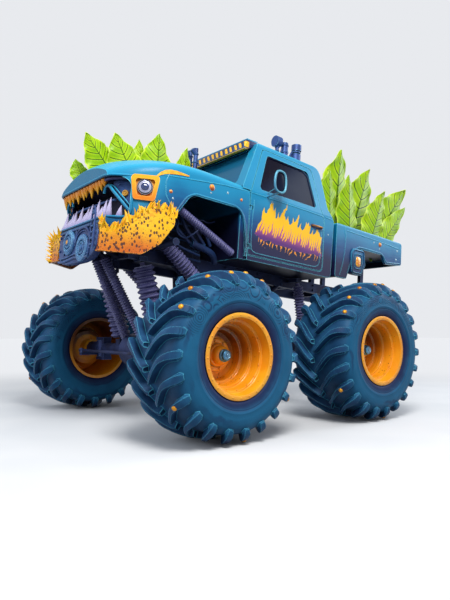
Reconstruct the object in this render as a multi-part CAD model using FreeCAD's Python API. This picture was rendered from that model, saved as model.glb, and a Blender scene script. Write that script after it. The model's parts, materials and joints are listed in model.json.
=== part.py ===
"""Monster truck: a pickup body raked nose-up on a ladder frame, four 66-inch tyres, all as separate pieces.

Frame: origin on the ground under the middle of the overall length and width, +X forward, +Y to the
truck's left, +Z up.  Millimetres.
The body and the ladder frame are laid out level, in "body" coordinates, and then raked nose-up about
the line x = 0, z = RAKE_PIVOT_Z.  The axles, wheels, steering and lower chassis are laid out as they stand.
While the pieces are made, x = 0 is midway between the axles; they are moved to the origin as they are saved.
"""

import FreeCAD, Part
import math
import os

os.makedirs("parts", exist_ok=True)

V = FreeCAD.Vector
UP = V(0, 0, 1)
LEFT = V(0, 1, 0)

# ---- driving sizes -------------------------------------------------------------------------------
WHEELBASE = 2230.0
TRACK = 3060.0  # between the middles of the two tyres of an axle
TYRE_RADIUS = 840.0  # over the lugs
TYRE_WIDTH = 860.0
RIM_RADIUS = 414.0
RIM_WIDTH = 800.0
KINGPIN_Y = 1010.0  # kingpins of the front axle, from the centre line
SPINDLE_RADIUS = 60.0
RAKE_DEG = 5.0
RAKE_PIVOT_Z = 2000.0
CLEARANCE = 0.3  # between pieces that turn or lie close together
PANEL_GAP = 8.0  # shut lines
SKIN = 30.0  # wall of the moulded body shells
DOOR_THICK = 70.0

HALF_WHEELBASE = WHEELBASE / 2
WHEEL_Y = TRACK / 2
AXLE_Z = TYRE_RADIUS

# ---- body, in body coordinates -------------------------------------------------------------------
BODY_HALF_WIDTH = 970.0
ROOF_HALF_WIDTH = BODY_HALF_WIDTH - 170.0
SILL_Z = 1910.0  # underside of cab and bed front, top of the frame rails
BELT_Z = 2760.0
ROOF_Z = 3500.0
COWL_X = 330.0  # foot of the windscreen
DOOR_FRONT_X = 205.0
DOOR_REAR_X = -1130.0
CAB_REAR_X = -1310.0
BED_FRONT_X = -1400.0
BED_REAR_X = -2960.0
BED_TOP_Z = 2715.0
BED_FLOOR_Z = 2485.0
BED_WALL = 60.0
FLOOR_THICK = 40.0
NOSE_X = 1930.0
CLIP_REAR_X = DOOR_FRONT_X + 10.0
GLASS = 6.0
RAIL_Y = 400.0
RAIL_WIDTH = 80.0
RAIL_HEIGHT = 140.0
RAIL_FRONT_X = 1500.0
RAIL_REAR_X = -2800.0

# ---- small shape makers --------------------------------------------------------------------------
FOLD_PITCH = 0.5  # of a bellows, as a share of its radius
FOLD_DEPTH = 0.14


def rounded_wire(corners, place):
    """Closed wire through corners (a, b, radius); place(a, b) gives the point in space."""
    count = len(corners)
    marks = []
    for i, (a, b, radius) in enumerate(corners):
        here = V(a, b, 0)
        if radius <= 0:
            marks.append((here, None, here))
            continue
        to_last = (V(corners[i - 1][0], corners[i - 1][1], 0) - here).normalize()
        to_next = (V(corners[(i + 1) % count][0], corners[(i + 1) % count][1], 0) - here).normalize()
        half = to_last.getAngle(to_next) / 2
        reach = radius / math.tan(half)
        inward = (to_last + to_next).normalize()
        middle = here + inward * (radius / math.sin(half) - radius)
        marks.append((here + to_last * reach, middle, here + to_next * reach))
    edges = []
    for i, (start, middle, finish) in enumerate(marks):
        last = marks[i - 1][2]
        if (start - last).Length > 1e-6:
            edges.append(Part.LineSegment(place(last.x, last.y), place(start.x, start.y)).toShape())
        if middle is not None:
            arc = Part.Arc(place(start.x, start.y), place(middle.x, middle.y), place(finish.x, finish.y))
            edges.append(arc.toShape())
    return Part.Wire(edges)


def side_prism(corners, y_from, y_to):
    """Outline (x, z, radius) seen from the side, carried from y_from to y_to."""
    wire = rounded_wire(corners, lambda x, z: V(x, y_from, z))
    return Part.Face(wire).extrude(V(0, y_to - y_from, 0))


def front_prism(corners, x_from, x_to):
    """Outline (y, z, radius) seen from the front, carried from x_from to x_to."""
    wire = rounded_wire(corners, lambda y, z: V(x_from, y, z))
    return Part.Face(wire).extrude(V(x_to - x_from, 0, 0))


def plan_prism(corners, z_from, z_to):
    """Outline (x, y, radius) seen from above, carried from z_from to z_to."""
    wire = rounded_wire(corners, lambda x, y: V(x, y, z_from))
    return Part.Face(wire).extrude(V(0, 0, z_to - z_from))


def block(x_from, x_to, y_from, y_to, z_from, z_to):
    return Part.makeBox(x_to - x_from, y_to - y_from, z_to - z_from, V(x_from, y_from, z_from))


def rod(start, finish, radius):
    return Part.makeCylinder(radius, (finish - start).Length, start, finish - start)


def bellows(start, finish, radius):
    """Corrugated sleeve from start to finish: a turned zigzag, with folds that suit its radius."""
    length = (finish - start).Length
    folds = round(length / (radius * FOLD_PITCH))
    step = length / folds
    root = radius * (1 - FOLD_DEPTH)
    profile = [V(0, 0, 0)]
    for i in range(folds):
        profile += [V(root, 0, i * step), V(radius, 0, (i + 0.5) * step)]
    profile += [V(root, 0, length), V(0, 0, length)]
    sleeve = Part.Face(Part.makePolygon(profile + profile[:1])).revolve(V(0, 0, 0), UP, 360)
    sleeve.Placement = FreeCAD.Placement(start, FreeCAD.Rotation(UP, finish - start))
    return sleeve


def joined(pieces):
    whole = pieces[0]
    if len(pieces) > 1:
        whole = whole.multiFuse(pieces[1:])
    return whole.removeSplitter()


def without(shape, tools):
    return shape.cut(Part.makeCompound(tools))


def both_sides(shape):
    return [shape, shape.mirror(V(0, 0, 0), LEFT)]


def turned_profile(profile, centre_y, side):
    """Solid of revolution about the wheel's own axis; profile (distance outward, radius)."""
    points = [V(0, centre_y + side * out, radius) for out, radius in profile]
    face = Part.Face(Part.makePolygon(points + points[:1]))
    return face.revolve(V(0, 0, 0), LEFT, 360)


def raked(shape):
    turned = shape.copy()
    turned.rotate(V(0, 0, RAKE_PIVOT_Z), LEFT, -RAKE_DEG)
    return turned


def raked_point(x, y, z):
    angle = math.radians(RAKE_DEG)
    up = z - RAKE_PIVOT_Z
    return V(
        x * math.cos(angle) - up * math.sin(angle),
        y,
        RAKE_PIVOT_Z + x * math.sin(angle) + up * math.cos(angle),
    )


def biggest(shape):
    return max(shape.Solids, key=lambda piece: piece.Volume)


def save(node, shape):
    """Move a piece, or a list of like pieces, to the origin and write it; the caller's shape stays."""
    shape = Part.makeCompound(shape) if isinstance(shape, list) else shape.copy()
    shape.translate(V(-MIDDLE_X, 0, 0))
    shape.exportStep("parts/" + node + ".step")


# ---- front clip: bonnet, wings, nose and jaw in one moulding --------------------------------------
# Cross-sections from the cowl to the nose.
# Columns: x, how far the side is tucked in, shoulder height, crown height.
CLIP_SECTIONS = [
    (CLIP_REAR_X, 0.0, 2790.0, 2880.0),
    (500.0, 0.0, 2805.0, 2945.0),
    (860.0, 0.0, 2812.0, 2992.0),
    (1240.0, 0.0, 2785.0, 2998.0),
    (1480.0, 45.0, 2740.0, 2955.0),
    (1740.0, 180.0, 2680.0, 2870.0),
    (NOSE_X, 330.0, 2610.0, 2750.0),
]
CLIP_BASE_Z = 1700.0
SHOULDER_RADIUS = 90.0


def clip_section(x, tuck, shoulder, crown, inset):
    """Closed section: flat base, upright sides, rounded shoulders, arched top."""
    half = BODY_HALF_WIDTH - tuck - inset
    shoulder = shoulder - inset
    crown = crown - inset
    r = SHOULDER_RADIUS
    bend = 0.29 * r  # how far a quarter arc's middle lies inside its corner
    top_y = half - r
    rise = (crown - shoulder) * (1 - (top_y / half) ** 2)
    left = [
        V(x, half, CLIP_BASE_Z),
        V(x, half, shoulder - r),
        V(x, half - bend, shoulder - bend + rise / 2),
        V(x, top_y, shoulder + rise),
    ]
    right = [V(p.x, -p.y, p.z) for p in left]
    return Part.Wire(
        [
            Part.LineSegment(right[0], left[0]).toShape(),
            Part.LineSegment(left[0], left[1]).toShape(),
            Part.Arc(left[1], left[2], left[3]).toShape(),
            Part.Arc(left[3], V(x, 0, crown), right[3]).toShape(),
            Part.Arc(right[3], right[2], right[1]).toShape(),
            Part.LineSegment(right[1], right[0]).toShape(),
        ]
    )


def clip_body(inset, front_inset):
    wires = []
    for x, tuck, shoulder, crown in CLIP_SECTIONS:
        place = x - front_inset if x == NOSE_X else x
        wires.append(clip_section(place, tuck, shoulder, crown, inset))
    return Part.makeLoft(wires, True, False)


# side outline of the clip (x, z, radius): strip behind the arch, arch, wing tip, jaw
ARCH_TOP_Z = 2500.0
WING_TIP_X = 1250.0
JAW_BASE_Z = 1760.0
clip_side = [
    (CLIP_REAR_X, 1950.0, 0),
    (CLIP_REAR_X + SKIN, 1950.0, 0),
    (CLIP_REAR_X + SKIN, 2150.0, 60.0),
    (320.0, ARCH_TOP_Z, 110.0),
    (1060.0, ARCH_TOP_Z, 150.0),
    (WING_TIP_X, 2225.0, 10.0),
    (1310.0, 2110.0, 40.0),
    (1450.0, 1880.0, 60.0),
    (1640.0, JAW_BASE_Z, 60.0),
    (NOSE_X + 50.0, JAW_BASE_Z, 0),
    (NOSE_X + 50.0, 3200.0, 0),
    (CLIP_REAR_X, 3200.0, 0),
]
MOUTH_HALF_WIDTH = BODY_HALF_WIDTH - 170.0
MOUTH_BASE_Z = 2120.0
MOUTH_TOP_Z = 2570.0
mouth_outline = [
    (-MOUTH_HALF_WIDTH, MOUTH_BASE_Z, 70.0),
    (MOUTH_HALF_WIDTH, MOUTH_BASE_Z, 70.0),
    (MOUTH_HALF_WIDTH, MOUTH_TOP_Z, 110.0),
    (-MOUTH_HALF_WIDTH, MOUTH_TOP_Z, 110.0),
]

clip_outer = clip_body(0.0, 0.0)
clip_inner = clip_body(SKIN, SKIN)
clip_window = side_prism(clip_side, -BODY_HALF_WIDTH - 10, BODY_HALF_WIDTH + 10)
mouth_hole = front_prism(mouth_outline, 1500.0, NOSE_X + 50)
# air scoop on the bonnet, beside the crest: side outline (x, z, radius)
SCOOP_Y = (-440.0, -90.0)
scoop_side = [
    (1700.0, 2800.0, 0),
    (1690.0, 2880.0, 20.0),
    (1600.0, 2985.0, 60.0),
    (1450.0, 3022.0, 80.0),
    (1230.0, 3035.0, 60.0),
    (1150.0, 2960.0, 20.0),
    (1150.0, 2800.0, 0),
]
SCOOP_SLOT = block(1290, 1480, SCOOP_Y[0] + 60, SCOOP_Y[1] - 60, 3000, 3100)
scoop = side_prism(scoop_side, *SCOOP_Y).cut(SCOOP_SLOT).cut(clip_inner)
front_clip = clip_outer.common(clip_window)
front_clip = without(front_clip, [clip_inner, mouth_hole])
front_clip = joined([front_clip, scoop])

# ---- cab -----------------------------------------------------------------------------------------
cab_side = [
    (COWL_X, SILL_Z, 0),
    (COWL_X, 2800.0, 20.0),
    (0.0, ROOF_Z - 10, 70.0),
    (-1135.0, ROOF_Z - 40, 150.0),
    (-1210.0, 2870.0, 120.0),
    (CAB_REAR_X - 20, BELT_Z - 60, 70.0),
    (CAB_REAR_X, SILL_Z, 60.0),
]
CAB_WALL = DOOR_THICK


def cab_front_outline(inset):
    half = BODY_HALF_WIDTH - inset
    roof = ROOF_HALF_WIDTH - inset
    return [
        (half, SILL_Z - 20 if inset == 0 else SILL_Z + FLOOR_THICK, 0),
        (half, BELT_Z, 60.0),
        (roof, ROOF_Z - inset + 12, 120.0),
        (-roof, ROOF_Z - inset + 12, 120.0),
        (-half, BELT_Z, 60.0),
        (-half, SILL_Z - 20 if inset == 0 else SILL_Z + FLOOR_THICK, 0),
    ]


cab_inside = [
    (COWL_X - 60, SILL_Z, 0),
    (COWL_X - 60, 2780.0, 20.0),
    (-45.0, ROOF_Z - 60, 50.0),
    (-1085.0, ROOF_Z - 90, 110.0),
    (-1155.0, 2870.0, 120.0),
    (CAB_REAR_X + 60, BELT_Z - 60, 70.0),
    (CAB_REAR_X + 60, SILL_Z, 0),
]
DOOR_TOP_Z = 3405.0
DOOR_BASE_Z = SILL_Z + 65.0


def door_outline(grow):
    """Door leaf seen from the side, up the windscreen pillar and round the window; grown by the gap."""
    return [
        (DOOR_FRONT_X + grow, DOOR_BASE_Z - grow, 30.0),
        (DOOR_FRONT_X + grow, BELT_Z - 10, 20.0),
        (-70.0 + grow, DOOR_TOP_Z + grow, 60.0),
        (-965.0 - grow, DOOR_TOP_Z - 20 + grow, 90.0),
        (-1065.0 - grow, 2830.0, 60.0),
        (DOOR_REAR_X - grow, 2660.0, 60.0),
        (DOOR_REAR_X - grow, DOOR_BASE_Z - grow, 70.0),
    ]


window_outline = [
    (60.0, 2820.0, 40.0),
    (-135.0, 3340.0, 50.0),
    (-895.0, 3325.0, 70.0),
    (-985.0, 2820.0, 40.0),
]

cab_block = side_prism(cab_side, -BODY_HALF_WIDTH - 10, BODY_HALF_WIDTH + 10)
cab_outer = cab_block.common(front_prism(cab_front_outline(0.0), -3000, 3000))
under_clip = clip_body(SKIN + CLEARANCE, SKIN)
NOSE_ZONE_TOP = BELT_Z + 10
nose_zone = block(DOOR_FRONT_X + PANEL_GAP, 3000, -2000, 2000, 1000, NOSE_ZONE_TOP)
cab_outer = cab_outer.cut(nose_zone).fuse(cab_outer.common(nose_zone).common(under_clip)).removeSplitter()
over_nose = block(0, 3000, -2000, 2000, NOSE_ZONE_TOP - CLEARANCE, 4000)
cowl_side = [(x + CLEARANCE, z, radius) for x, z, radius in cab_side]
front_clip = front_clip.cut(side_prism(cowl_side, -2000, 2000).common(over_nose))
cab_cavity = side_prism(cab_inside, -2000, 2000)
cab_cavity = cab_cavity.common(front_prism(cab_front_outline(CAB_WALL), -3000, 3000))
cab_walls = cab_outer.cut(cab_cavity)
SIDE_WALL_Y = BODY_HALF_WIDTH * 0.6  # the door and its window are cut from what lies outside this
door_leaf = cab_walls.common(side_prism(door_outline(0.0), SIDE_WALL_Y, 2000))
window_hole = side_prism(window_outline, SIDE_WALL_Y, 2000)
door_leaf = door_leaf.cut(window_hole)
door_holes = both_sides(side_prism(door_outline(PANEL_GAP), SIDE_WALL_Y, 2000))



def window(foot_half, foot_z, head_half, head_z, radius):
    """Upright four-cornered window seen from the front, wider at its foot."""
    return [
        (-foot_half, foot_z, radius),
        (foot_half, foot_z, radius),
        (head_half, head_z, radius),
        (-head_half, head_z, radius),
    ]


WINDSCREEN = window(BODY_HALF_WIDTH - 180, 2868.0, ROOF_HALF_WIDTH - 110, 3400.0, 60.0)
REAR_WINDOW = window(620.0, 2860.0, 590.0, 3300.0, 70.0)
windscreen_hole = front_prism(WINDSCREEN, -420, 600)
rear_hole = front_prism(REAR_WINDOW, -1500, -1000)
cab_shell = without(cab_walls, door_holes + [windscreen_hole, rear_hole])

# door hinges: a strap from the cab's post ends in a barrel round a pin in a notch of the door's edge
HINGE_X = DOOR_FRONT_X - 31
HINGE_Y = BODY_HALF_WIDTH - 13
HINGE_HEIGHTS = [DOOR_BASE_Z + 105, BELT_Z - 200]
HINGE_PIN = 6.0
HINGE_PIN_HALF = 60.0
HINGE_BARREL = 12.0
STRAP_HALF = 20.0
NOTCH_GAP = 6.0
strap_outer_y = BODY_HALF_WIDTH - SKIN - 5
strap_inner_y = strap_outer_y - 17
strap_plan = [
    (HINGE_X - 5, HINGE_Y - 9, 0),
    (DOOR_FRONT_X + 8, strap_inner_y, 0),
    (DOOR_FRONT_X + 18, strap_inner_y, 0),
    (DOOR_FRONT_X + 18, strap_outer_y, 0),
    (DOOR_FRONT_X + 8, strap_outer_y, 0),
    (HINGE_X + 7, HINGE_Y + 8, 0),
]


def hinge_rod(height, half, radius):
    return rod(V(HINGE_X, HINGE_Y, height - half), V(HINGE_X, HINGE_Y, height + half), radius)


for height in HINGE_HEIGHTS:
    base = height - STRAP_HALF
    top = height + STRAP_HALF
    notch = block(HINGE_X - 26, COWL_X, HINGE_Y - 80, HINGE_Y + 30, base - NOTCH_GAP, top + NOTCH_GAP)
    door_leaf = door_leaf.cut(notch).fuse(hinge_rod(height, HINGE_PIN_HALF, HINGE_PIN))
    strap = plan_prism(strap_plan, base, top).fuse(hinge_rod(height, STRAP_HALF, HINGE_BARREL))
    strap = strap.cut(hinge_rod(height, HINGE_PIN_HALF, HINGE_PIN + CLEARANCE))
    cab_shell = cab_shell.multiFuse(both_sides(strap))
door_leaf = door_leaf.removeSplitter()
cab_shell = cab_shell.removeSplitter()


# ---- glass: each pane is a thin slice of the wall that its hole was cut from ---------------------


def shrunk(corners, gap):
    """The same outline pulled in by gap on each axis, for a pane that drops into its hole."""
    middle_a = sum(c[0] for c in corners) / len(corners)
    middle_b = sum(c[1] for c in corners) / len(corners)
    moved = []
    for a, b, radius in corners:
        step_a = gap if a > middle_a else -gap
        step_b = gap if b > middle_b else -gap
        moved.append((a - step_a, b - step_b, radius))
    return moved


def slab(corners, deep, thick):
    """Slice of a wall: its side outline (x, z, radius) moved along X by deep, and thick in X."""
    outer = side_prism([(x + deep, z, 0) for x, z, _ in corners], -2000, 2000)
    return outer.cut(side_prism([(x + deep + thick, z, 0) for x, z, _ in corners], -2000, 2000))


GLASS_DEPTH = 25.0  # panes lie this far inside the outer face
screen_foot = cab_side[1]
screen_head = cab_side[2]
screen_line = [
    (screen_foot[0] + 40, screen_foot[1] - 85, 0),
    (screen_head[0] - 40, screen_head[1] + 85, 0),
    (-400.0, ROOF_Z + 75, 0),
    (-400.0, screen_foot[1] - 85, 0),
]
windscreen = front_prism(shrunk(WINDSCREEN, CLEARANCE), -390, 600)
windscreen = windscreen.common(slab(screen_line, -GLASS_DEPTH, -GLASS))
rear_head = cab_side[3]
rear_waist = cab_side[4]
rear_line = [
    rear_head,
    rear_waist,
    (rear_waist[0] - 6, rear_waist[1] - 50, 0),
    (-600.0, rear_waist[1] - 50, 0),
    (-600.0, rear_head[1], 0),
]
rear_glass = front_prism(shrunk(REAR_WINDOW, CLEARANCE), -1500, -1000)
rear_glass = rear_glass.common(slab(rear_line, GLASS_DEPTH, GLASS))


def side_slice(inset, thick):
    """Layer of the cab's flat upper side, inset from the outer face and thick across."""
    lean = (BODY_HALF_WIDTH - ROOF_HALF_WIDTH) / (ROOF_Z + 12 - BELT_Z)
    foot = BODY_HALF_WIDTH - inset
    head = foot - lean * (ROOF_Z - BELT_Z)
    outline = [(foot, BELT_Z, 0), (head, ROOF_Z, 0), (head - thick, ROOF_Z, 0), (foot - thick, BELT_Z, 0)]
    return front_prism(outline, -3000, 3000)


door_glass = side_prism(shrunk(window_outline, CLEARANCE), 0, 2000).common(side_slice(GLASS_DEPTH, GLASS))

# ---- load bed and tailgate ------------------------------------------------------------------------
bed_side = [
    (BED_FRONT_X, 1950.0, 30.0),
    (BED_FRONT_X, BED_TOP_Z, 40.0),
    (BED_REAR_X, BED_TOP_Z - 12, 50.0),
    (BED_REAR_X, 2350.0, 40.0),
    (-2560.0, 2310.0, 30.0),
    (-2470.0, 2435.0, 70.0),
    (-1850.0, 2430.0, 90.0),
    (-1690.0, 2060.0, 30.0),
    (-1640.0, 1950.0, 20.0),
]
bed_front_outline = [
    (BODY_HALF_WIDTH, 1900.0, 0),
    (BODY_HALF_WIDTH, BED_TOP_Z + 5, 40.0),
    (-BODY_HALF_WIDTH, BED_TOP_Z + 5, 40.0),
    (-BODY_HALF_WIDTH, 1900.0, 0),
]
SKIRT = 40.0
GATE_HALF_WIDTH = 800.0
GATE_THICK = 50.0
bed_outer = side_prism(bed_side, -BODY_HALF_WIDTH - 10, BODY_HALF_WIDTH + 10)
bed_outer = bed_outer.common(front_prism(bed_front_outline, BED_REAR_X - 100, BED_FRONT_X + 100))
load_half = BODY_HALF_WIDTH - BED_WALL
load_rear_x = BED_REAR_X + BED_WALL
load_front_x = BED_FRONT_X - BED_WALL
bed_base_z = BED_FLOOR_Z - FLOOR_THICK
load_space = block(load_rear_x, load_front_x, -load_half, load_half, BED_FLOOR_Z, 3000)
skirt_half = BODY_HALF_WIDTH - SKIRT
under_bed = block(load_rear_x, load_front_x, -skirt_half, skirt_half, 1800, bed_base_z)
gate_hole = block(BED_REAR_X - 10, load_rear_x + 10, -GATE_HALF_WIDTH, GATE_HALF_WIDTH, BED_FLOOR_Z, 3000)
bed = without(bed_outer, [load_space, under_bed, gate_hole])
gate_half = GATE_HALF_WIDTH - PANEL_GAP
gate_back = BED_REAR_X + 5
GATE_HINGE_X = gate_back + 7
GATE_HINGE_Z = BED_FLOOR_Z + 21
gate_outline = [
    (-gate_half, GATE_HINGE_Z - 12, 10.0),
    (gate_half, GATE_HINGE_Z - 12, 10.0),
    (gate_half, BED_TOP_Z - 10, 20.0),
    (-gate_half, BED_TOP_Z - 10, 20.0),
]
tailgate = front_prism(gate_outline, gate_back, gate_back + GATE_THICK)
GATE_PIN = 4.0
GATE_PIN_REACH = 12.0  # into the bed's corner posts


def gate_rod(reach, radius):
    half = GATE_HALF_WIDTH + reach
    return rod(V(GATE_HINGE_X, -half, GATE_HINGE_Z), V(GATE_HINGE_X, half, GATE_HINGE_Z), radius)


tailgate = tailgate.fuse(gate_rod(GATE_PIN_REACH, GATE_PIN)).removeSplitter()
bed = bed.cut(gate_rod(GATE_PIN_REACH + 2, GATE_PIN + CLEARANCE))

# ---- frame: ladder rails raked with the body, and a lower cradle of tube --------------------------
CRADLE_X = 320.0
CRADLE_Z = 1360.0
CRADLE_HALF_WIDTH = 660.0
CRADLE_TUBE = 38.0
HOOP_X = 1200.0
CROSS_MEMBERS = [1440.0, 300.0, -420.0, -1180.0, -2000.0, -2740.0]
rail_base_z = SILL_Z - RAIL_HEIGHT
rails = both_sides(
    block(RAIL_REAR_X, RAIL_FRONT_X, RAIL_Y - RAIL_WIDTH / 2, RAIL_Y + RAIL_WIDTH / 2, rail_base_z, SILL_Z)
)
rail_inner = RAIL_Y - RAIL_WIDTH / 2
CROSS_HALF = 30.0
POST_HALF = 35.0
BED_POSTS = [BED_FRONT_X - 150, RAIL_REAR_X + 100]
JAW_POST_X = 1460.0
HOOP_HALF = 1000.0
HOOP_RADIUS = 40.0
post_inner = RAIL_Y - 30
post_outer = RAIL_Y + 30
ladder = rails
cross_reach = rail_inner + 10
for x in CROSS_MEMBERS:
    ladder.append(block(x - CROSS_HALF, x + CROSS_HALF, -cross_reach, cross_reach, rail_base_z + 20, SILL_Z - 20))
for x in BED_POSTS:
    ladder += both_sides(block(x - POST_HALF, x + POST_HALF, post_inner, post_outer, SILL_Z - 20, bed_base_z))
jaw_post_top = MOUTH_BASE_Z - 14
jaw_post = block(JAW_POST_X - 40, JAW_POST_X + 40, post_inner, post_outer, SILL_Z - 20, jaw_post_top)
ladder += both_sides(jaw_post)
ladder.append(rod(V(HOOP_X, -HOOP_HALF, SILL_Z + 35), V(HOOP_X, HOOP_HALF, SILL_Z + 35), HOOP_RADIUS))
frame = raked(joined(ladder)).cut(raked(clip_outer.cut(clip_inner)))
frame = frame.common(raked(clip_inner).fuse(block(-4000, 4000, -700, 700, 0, 4000)))

# ---- spring towers under the rails, and the cradle of tube that holds the transfer case --------------
# columns: axle end x, y, head x, head z, radius
COILOVERS = [
    (1110.0, 450.0, 1345.0, 1880.0, 125.0),
    (-1150.0, 600.0, -1030.0, 1760.0, 75.0),
]
SPRING_FOOT_Z = AXLE_Z + 130.0
TOWER_HALF = 50.0
TOWER_THICK = 50.0
towers = []
for _, y, head_x, head_z, _ in COILOVERS:
    base = head_z - 10
    towers += both_sides(
        block(head_x - TOWER_HALF, head_x + TOWER_HALF, RAIL_Y - 40, y + 45, base, base + TOWER_THICK)
    )
frame = joined([frame] + towers)
STAY_REACH = 900.0  # where the sloping stays meet the rails
STAY_TUBE = 30.0
cradle = []
for end in (-1, 1):
    cross_x = end * CRADLE_X
    left = V(cross_x, CRADLE_HALF_WIDTH, CRADLE_Z)
    cradle.append(rod(V(left.x, -left.y, left.z), left, CRADLE_TUBE))
    for y in (-RAIL_Y, RAIL_Y):
        foot = V(cross_x, y, CRADLE_Z)
        cradle.append(rod(foot, raked_point(cross_x, y, rail_base_z + 40), CRADLE_TUBE))
        cradle.append(rod(foot, raked_point(end * STAY_REACH, y, rail_base_z + 40), STAY_TUBE))
for y in (-RAIL_Y, RAIL_Y):
    cradle.append(rod(V(-CRADLE_X, y, CRADLE_Z), V(CRADLE_X, y, CRADLE_Z), CRADLE_TUBE))
cradle = joined(cradle).cut(frame)

# ---- tow points: a tongue with its pin hole at the back, a recovery lug at the front ------------------
TOW_X = -2860.0
TOW_Z = 1560.0
TOW_THICK = 30.0
TOW_HALF = 60.0
TOW_PIN_RADIUS = 16.0
LUG_THICK = 40.0
LUG_HALF = 45.0
LUG_DROP = 110.0
tongue_root_x = raked_point(CROSS_MEMBERS[-1], 0, rail_base_z).x
tongue = block(TOW_X - 50, tongue_root_x, -TOW_HALF, TOW_HALF, TOW_Z, TOW_Z + TOW_THICK)
tongue = tongue.cut(rod(V(TOW_X, 0, TOW_Z - 5), V(TOW_X, 0, TOW_Z + TOW_THICK + 5), TOW_PIN_RADIUS))
tongue = biggest(tongue.cut(frame))
lug_foot = raked_point(CROSS_MEMBERS[0], 0, rail_base_z + 30)
lug_z = lug_foot.z - LUG_DROP
front_lug = block(
    lug_foot.x - LUG_HALF, lug_foot.x + LUG_HALF, -LUG_THICK / 2, LUG_THICK / 2, lug_z - LUG_HALF, lug_foot.z
)
lug_hole = rod(V(lug_foot.x, -LUG_THICK, lug_z), V(lug_foot.x, LUG_THICK, lug_z), TOW_PIN_RADIUS)
front_lug = biggest(front_lug.cut(lug_hole).cut(frame))

# ---- engine and driveline --------------------------------------------------------------------------
ENGINE_HALF_WIDTH = 270.0
ENGINE_TOP_Z = 2440.0
engine = block(400, 1060, -ENGINE_HALF_WIDTH, ENGINE_HALF_WIDTH, SILL_Z - 60, ENGINE_TOP_Z)
engine = engine.fuse(block(620, 760, -RAIL_Y - 20, RAIL_Y + 20, SILL_Z, SILL_Z + 70))
engine = raked(engine.removeSplitter())
CASE_HALF = 230.0
CASE_HALF_WIDTH = 190.0
case = block(-CASE_HALF, CASE_HALF, -CASE_HALF_WIDTH, CASE_HALF_WIDTH, CRADLE_Z - 90, CRADLE_Z + 190)
case = case.fuse(block(-60, 60, -RAIL_Y - 20, RAIL_Y + 20, CRADLE_Z - 10, CRADLE_Z + 60))
DIFF_RADIUS = 200.0
NOSE_REACH = 320.0
SHAFT_RADIUS = 45.0

# ---- axles, kingpins and knuckles ------------------------------------------------------------------
KINGPIN_RADIUS = 30.0
YOKE_INNER = 110.0  # half the yoke's gap
YOKE_OUTER = 150.0
YOKE_THICK = YOKE_OUTER - YOKE_INNER
BOSS_RADIUS = 75.0
ARM_LENGTH = 300.0
ARM_WIDTH = 56.0
STUD_RADIUS = 15.0
TIE_RADIUS = 18.0
EYE_RADIUS = 36.0
HUB_INNER = WHEEL_Y - 200.0  # inner end of the wheel's hub
SPINDLE_END = WHEEL_Y + 40.0
AXLE_TUBE = 75.0
AXLE_TUBE_END = KINGPIN_Y - 110.0
STUB_RADIUS = 90.0


def axle_beam(x):
    """Beam along Y with its differential and the nose that takes the propeller shaft."""
    toward_middle = -1 if x > 0 else 1
    return [
        rod(V(x, -AXLE_TUBE_END, AXLE_Z), V(x, AXLE_TUBE_END, AXLE_Z), AXLE_TUBE),
        rod(V(x, -150, AXLE_Z), V(x, 150, AXLE_Z), DIFF_RADIUS),
        rod(V(x, 0, AXLE_Z), V(x + toward_middle * NOSE_REACH, 0, AXLE_Z), AXLE_TUBE - 5),
    ]


def spring_pads(foot_x, axle_x, y):
    pads = []
    for side in (-1, 1):
        low = min(foot_x, axle_x) - 60
        high = max(foot_x, axle_x) + 60
        pads.append(block(low, high, side * y - 50, side * y + 50, AXLE_Z + 40, SPRING_FOOT_Z))
    return pads


front_x = HALF_WHEELBASE
rear_x = -HALF_WHEELBASE
front_foot_x, front_spring_y = COILOVERS[0][:2]
rear_foot_x, rear_spring_y = COILOVERS[1][:2]
beam = axle_beam(front_x) + spring_pads(front_foot_x, front_x, front_spring_y)
yoke_y = KINGPIN_Y - 150
yokes = [block(front_x - 55, front_x + 55, yoke_y, yoke_y + 55, AXLE_Z - YOKE_OUTER, AXLE_Z + YOKE_OUTER)]
for base in (AXLE_Z + YOKE_INNER, AXLE_Z - YOKE_OUTER):
    yokes.append(block(front_x - 60, front_x + 60, yoke_y, KINGPIN_Y + 65, base, base + YOKE_THICK))
for piece in yokes:
    beam += both_sides(piece)
kingpin_hole = rod(
    V(front_x, KINGPIN_Y, AXLE_Z - 200), V(front_x, KINGPIN_Y, AXLE_Z + 200), KINGPIN_RADIUS + CLEARANCE
)
axle_front = without(joined(beam), both_sides(kingpin_hole))

rear_beam = axle_beam(rear_x) + spring_pads(rear_foot_x, rear_x, rear_spring_y)
rear_beam.append(rod(V(rear_x, -HUB_INNER + 10, AXLE_Z), V(rear_x, HUB_INNER - 10, AXLE_Z), STUB_RADIUS))
rear_beam.append(rod(V(rear_x, -SPINDLE_END, AXLE_Z), V(rear_x, SPINDLE_END, AXLE_Z), SPINDLE_RADIUS))
axle_rear = joined(rear_beam)

ARM_TOP = AXLE_Z - 45.0
ARM_BASE = AXLE_Z - 85.0
EYE_BASE = ARM_TOP + 5
EYE_TOP = EYE_BASE + 40


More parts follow.
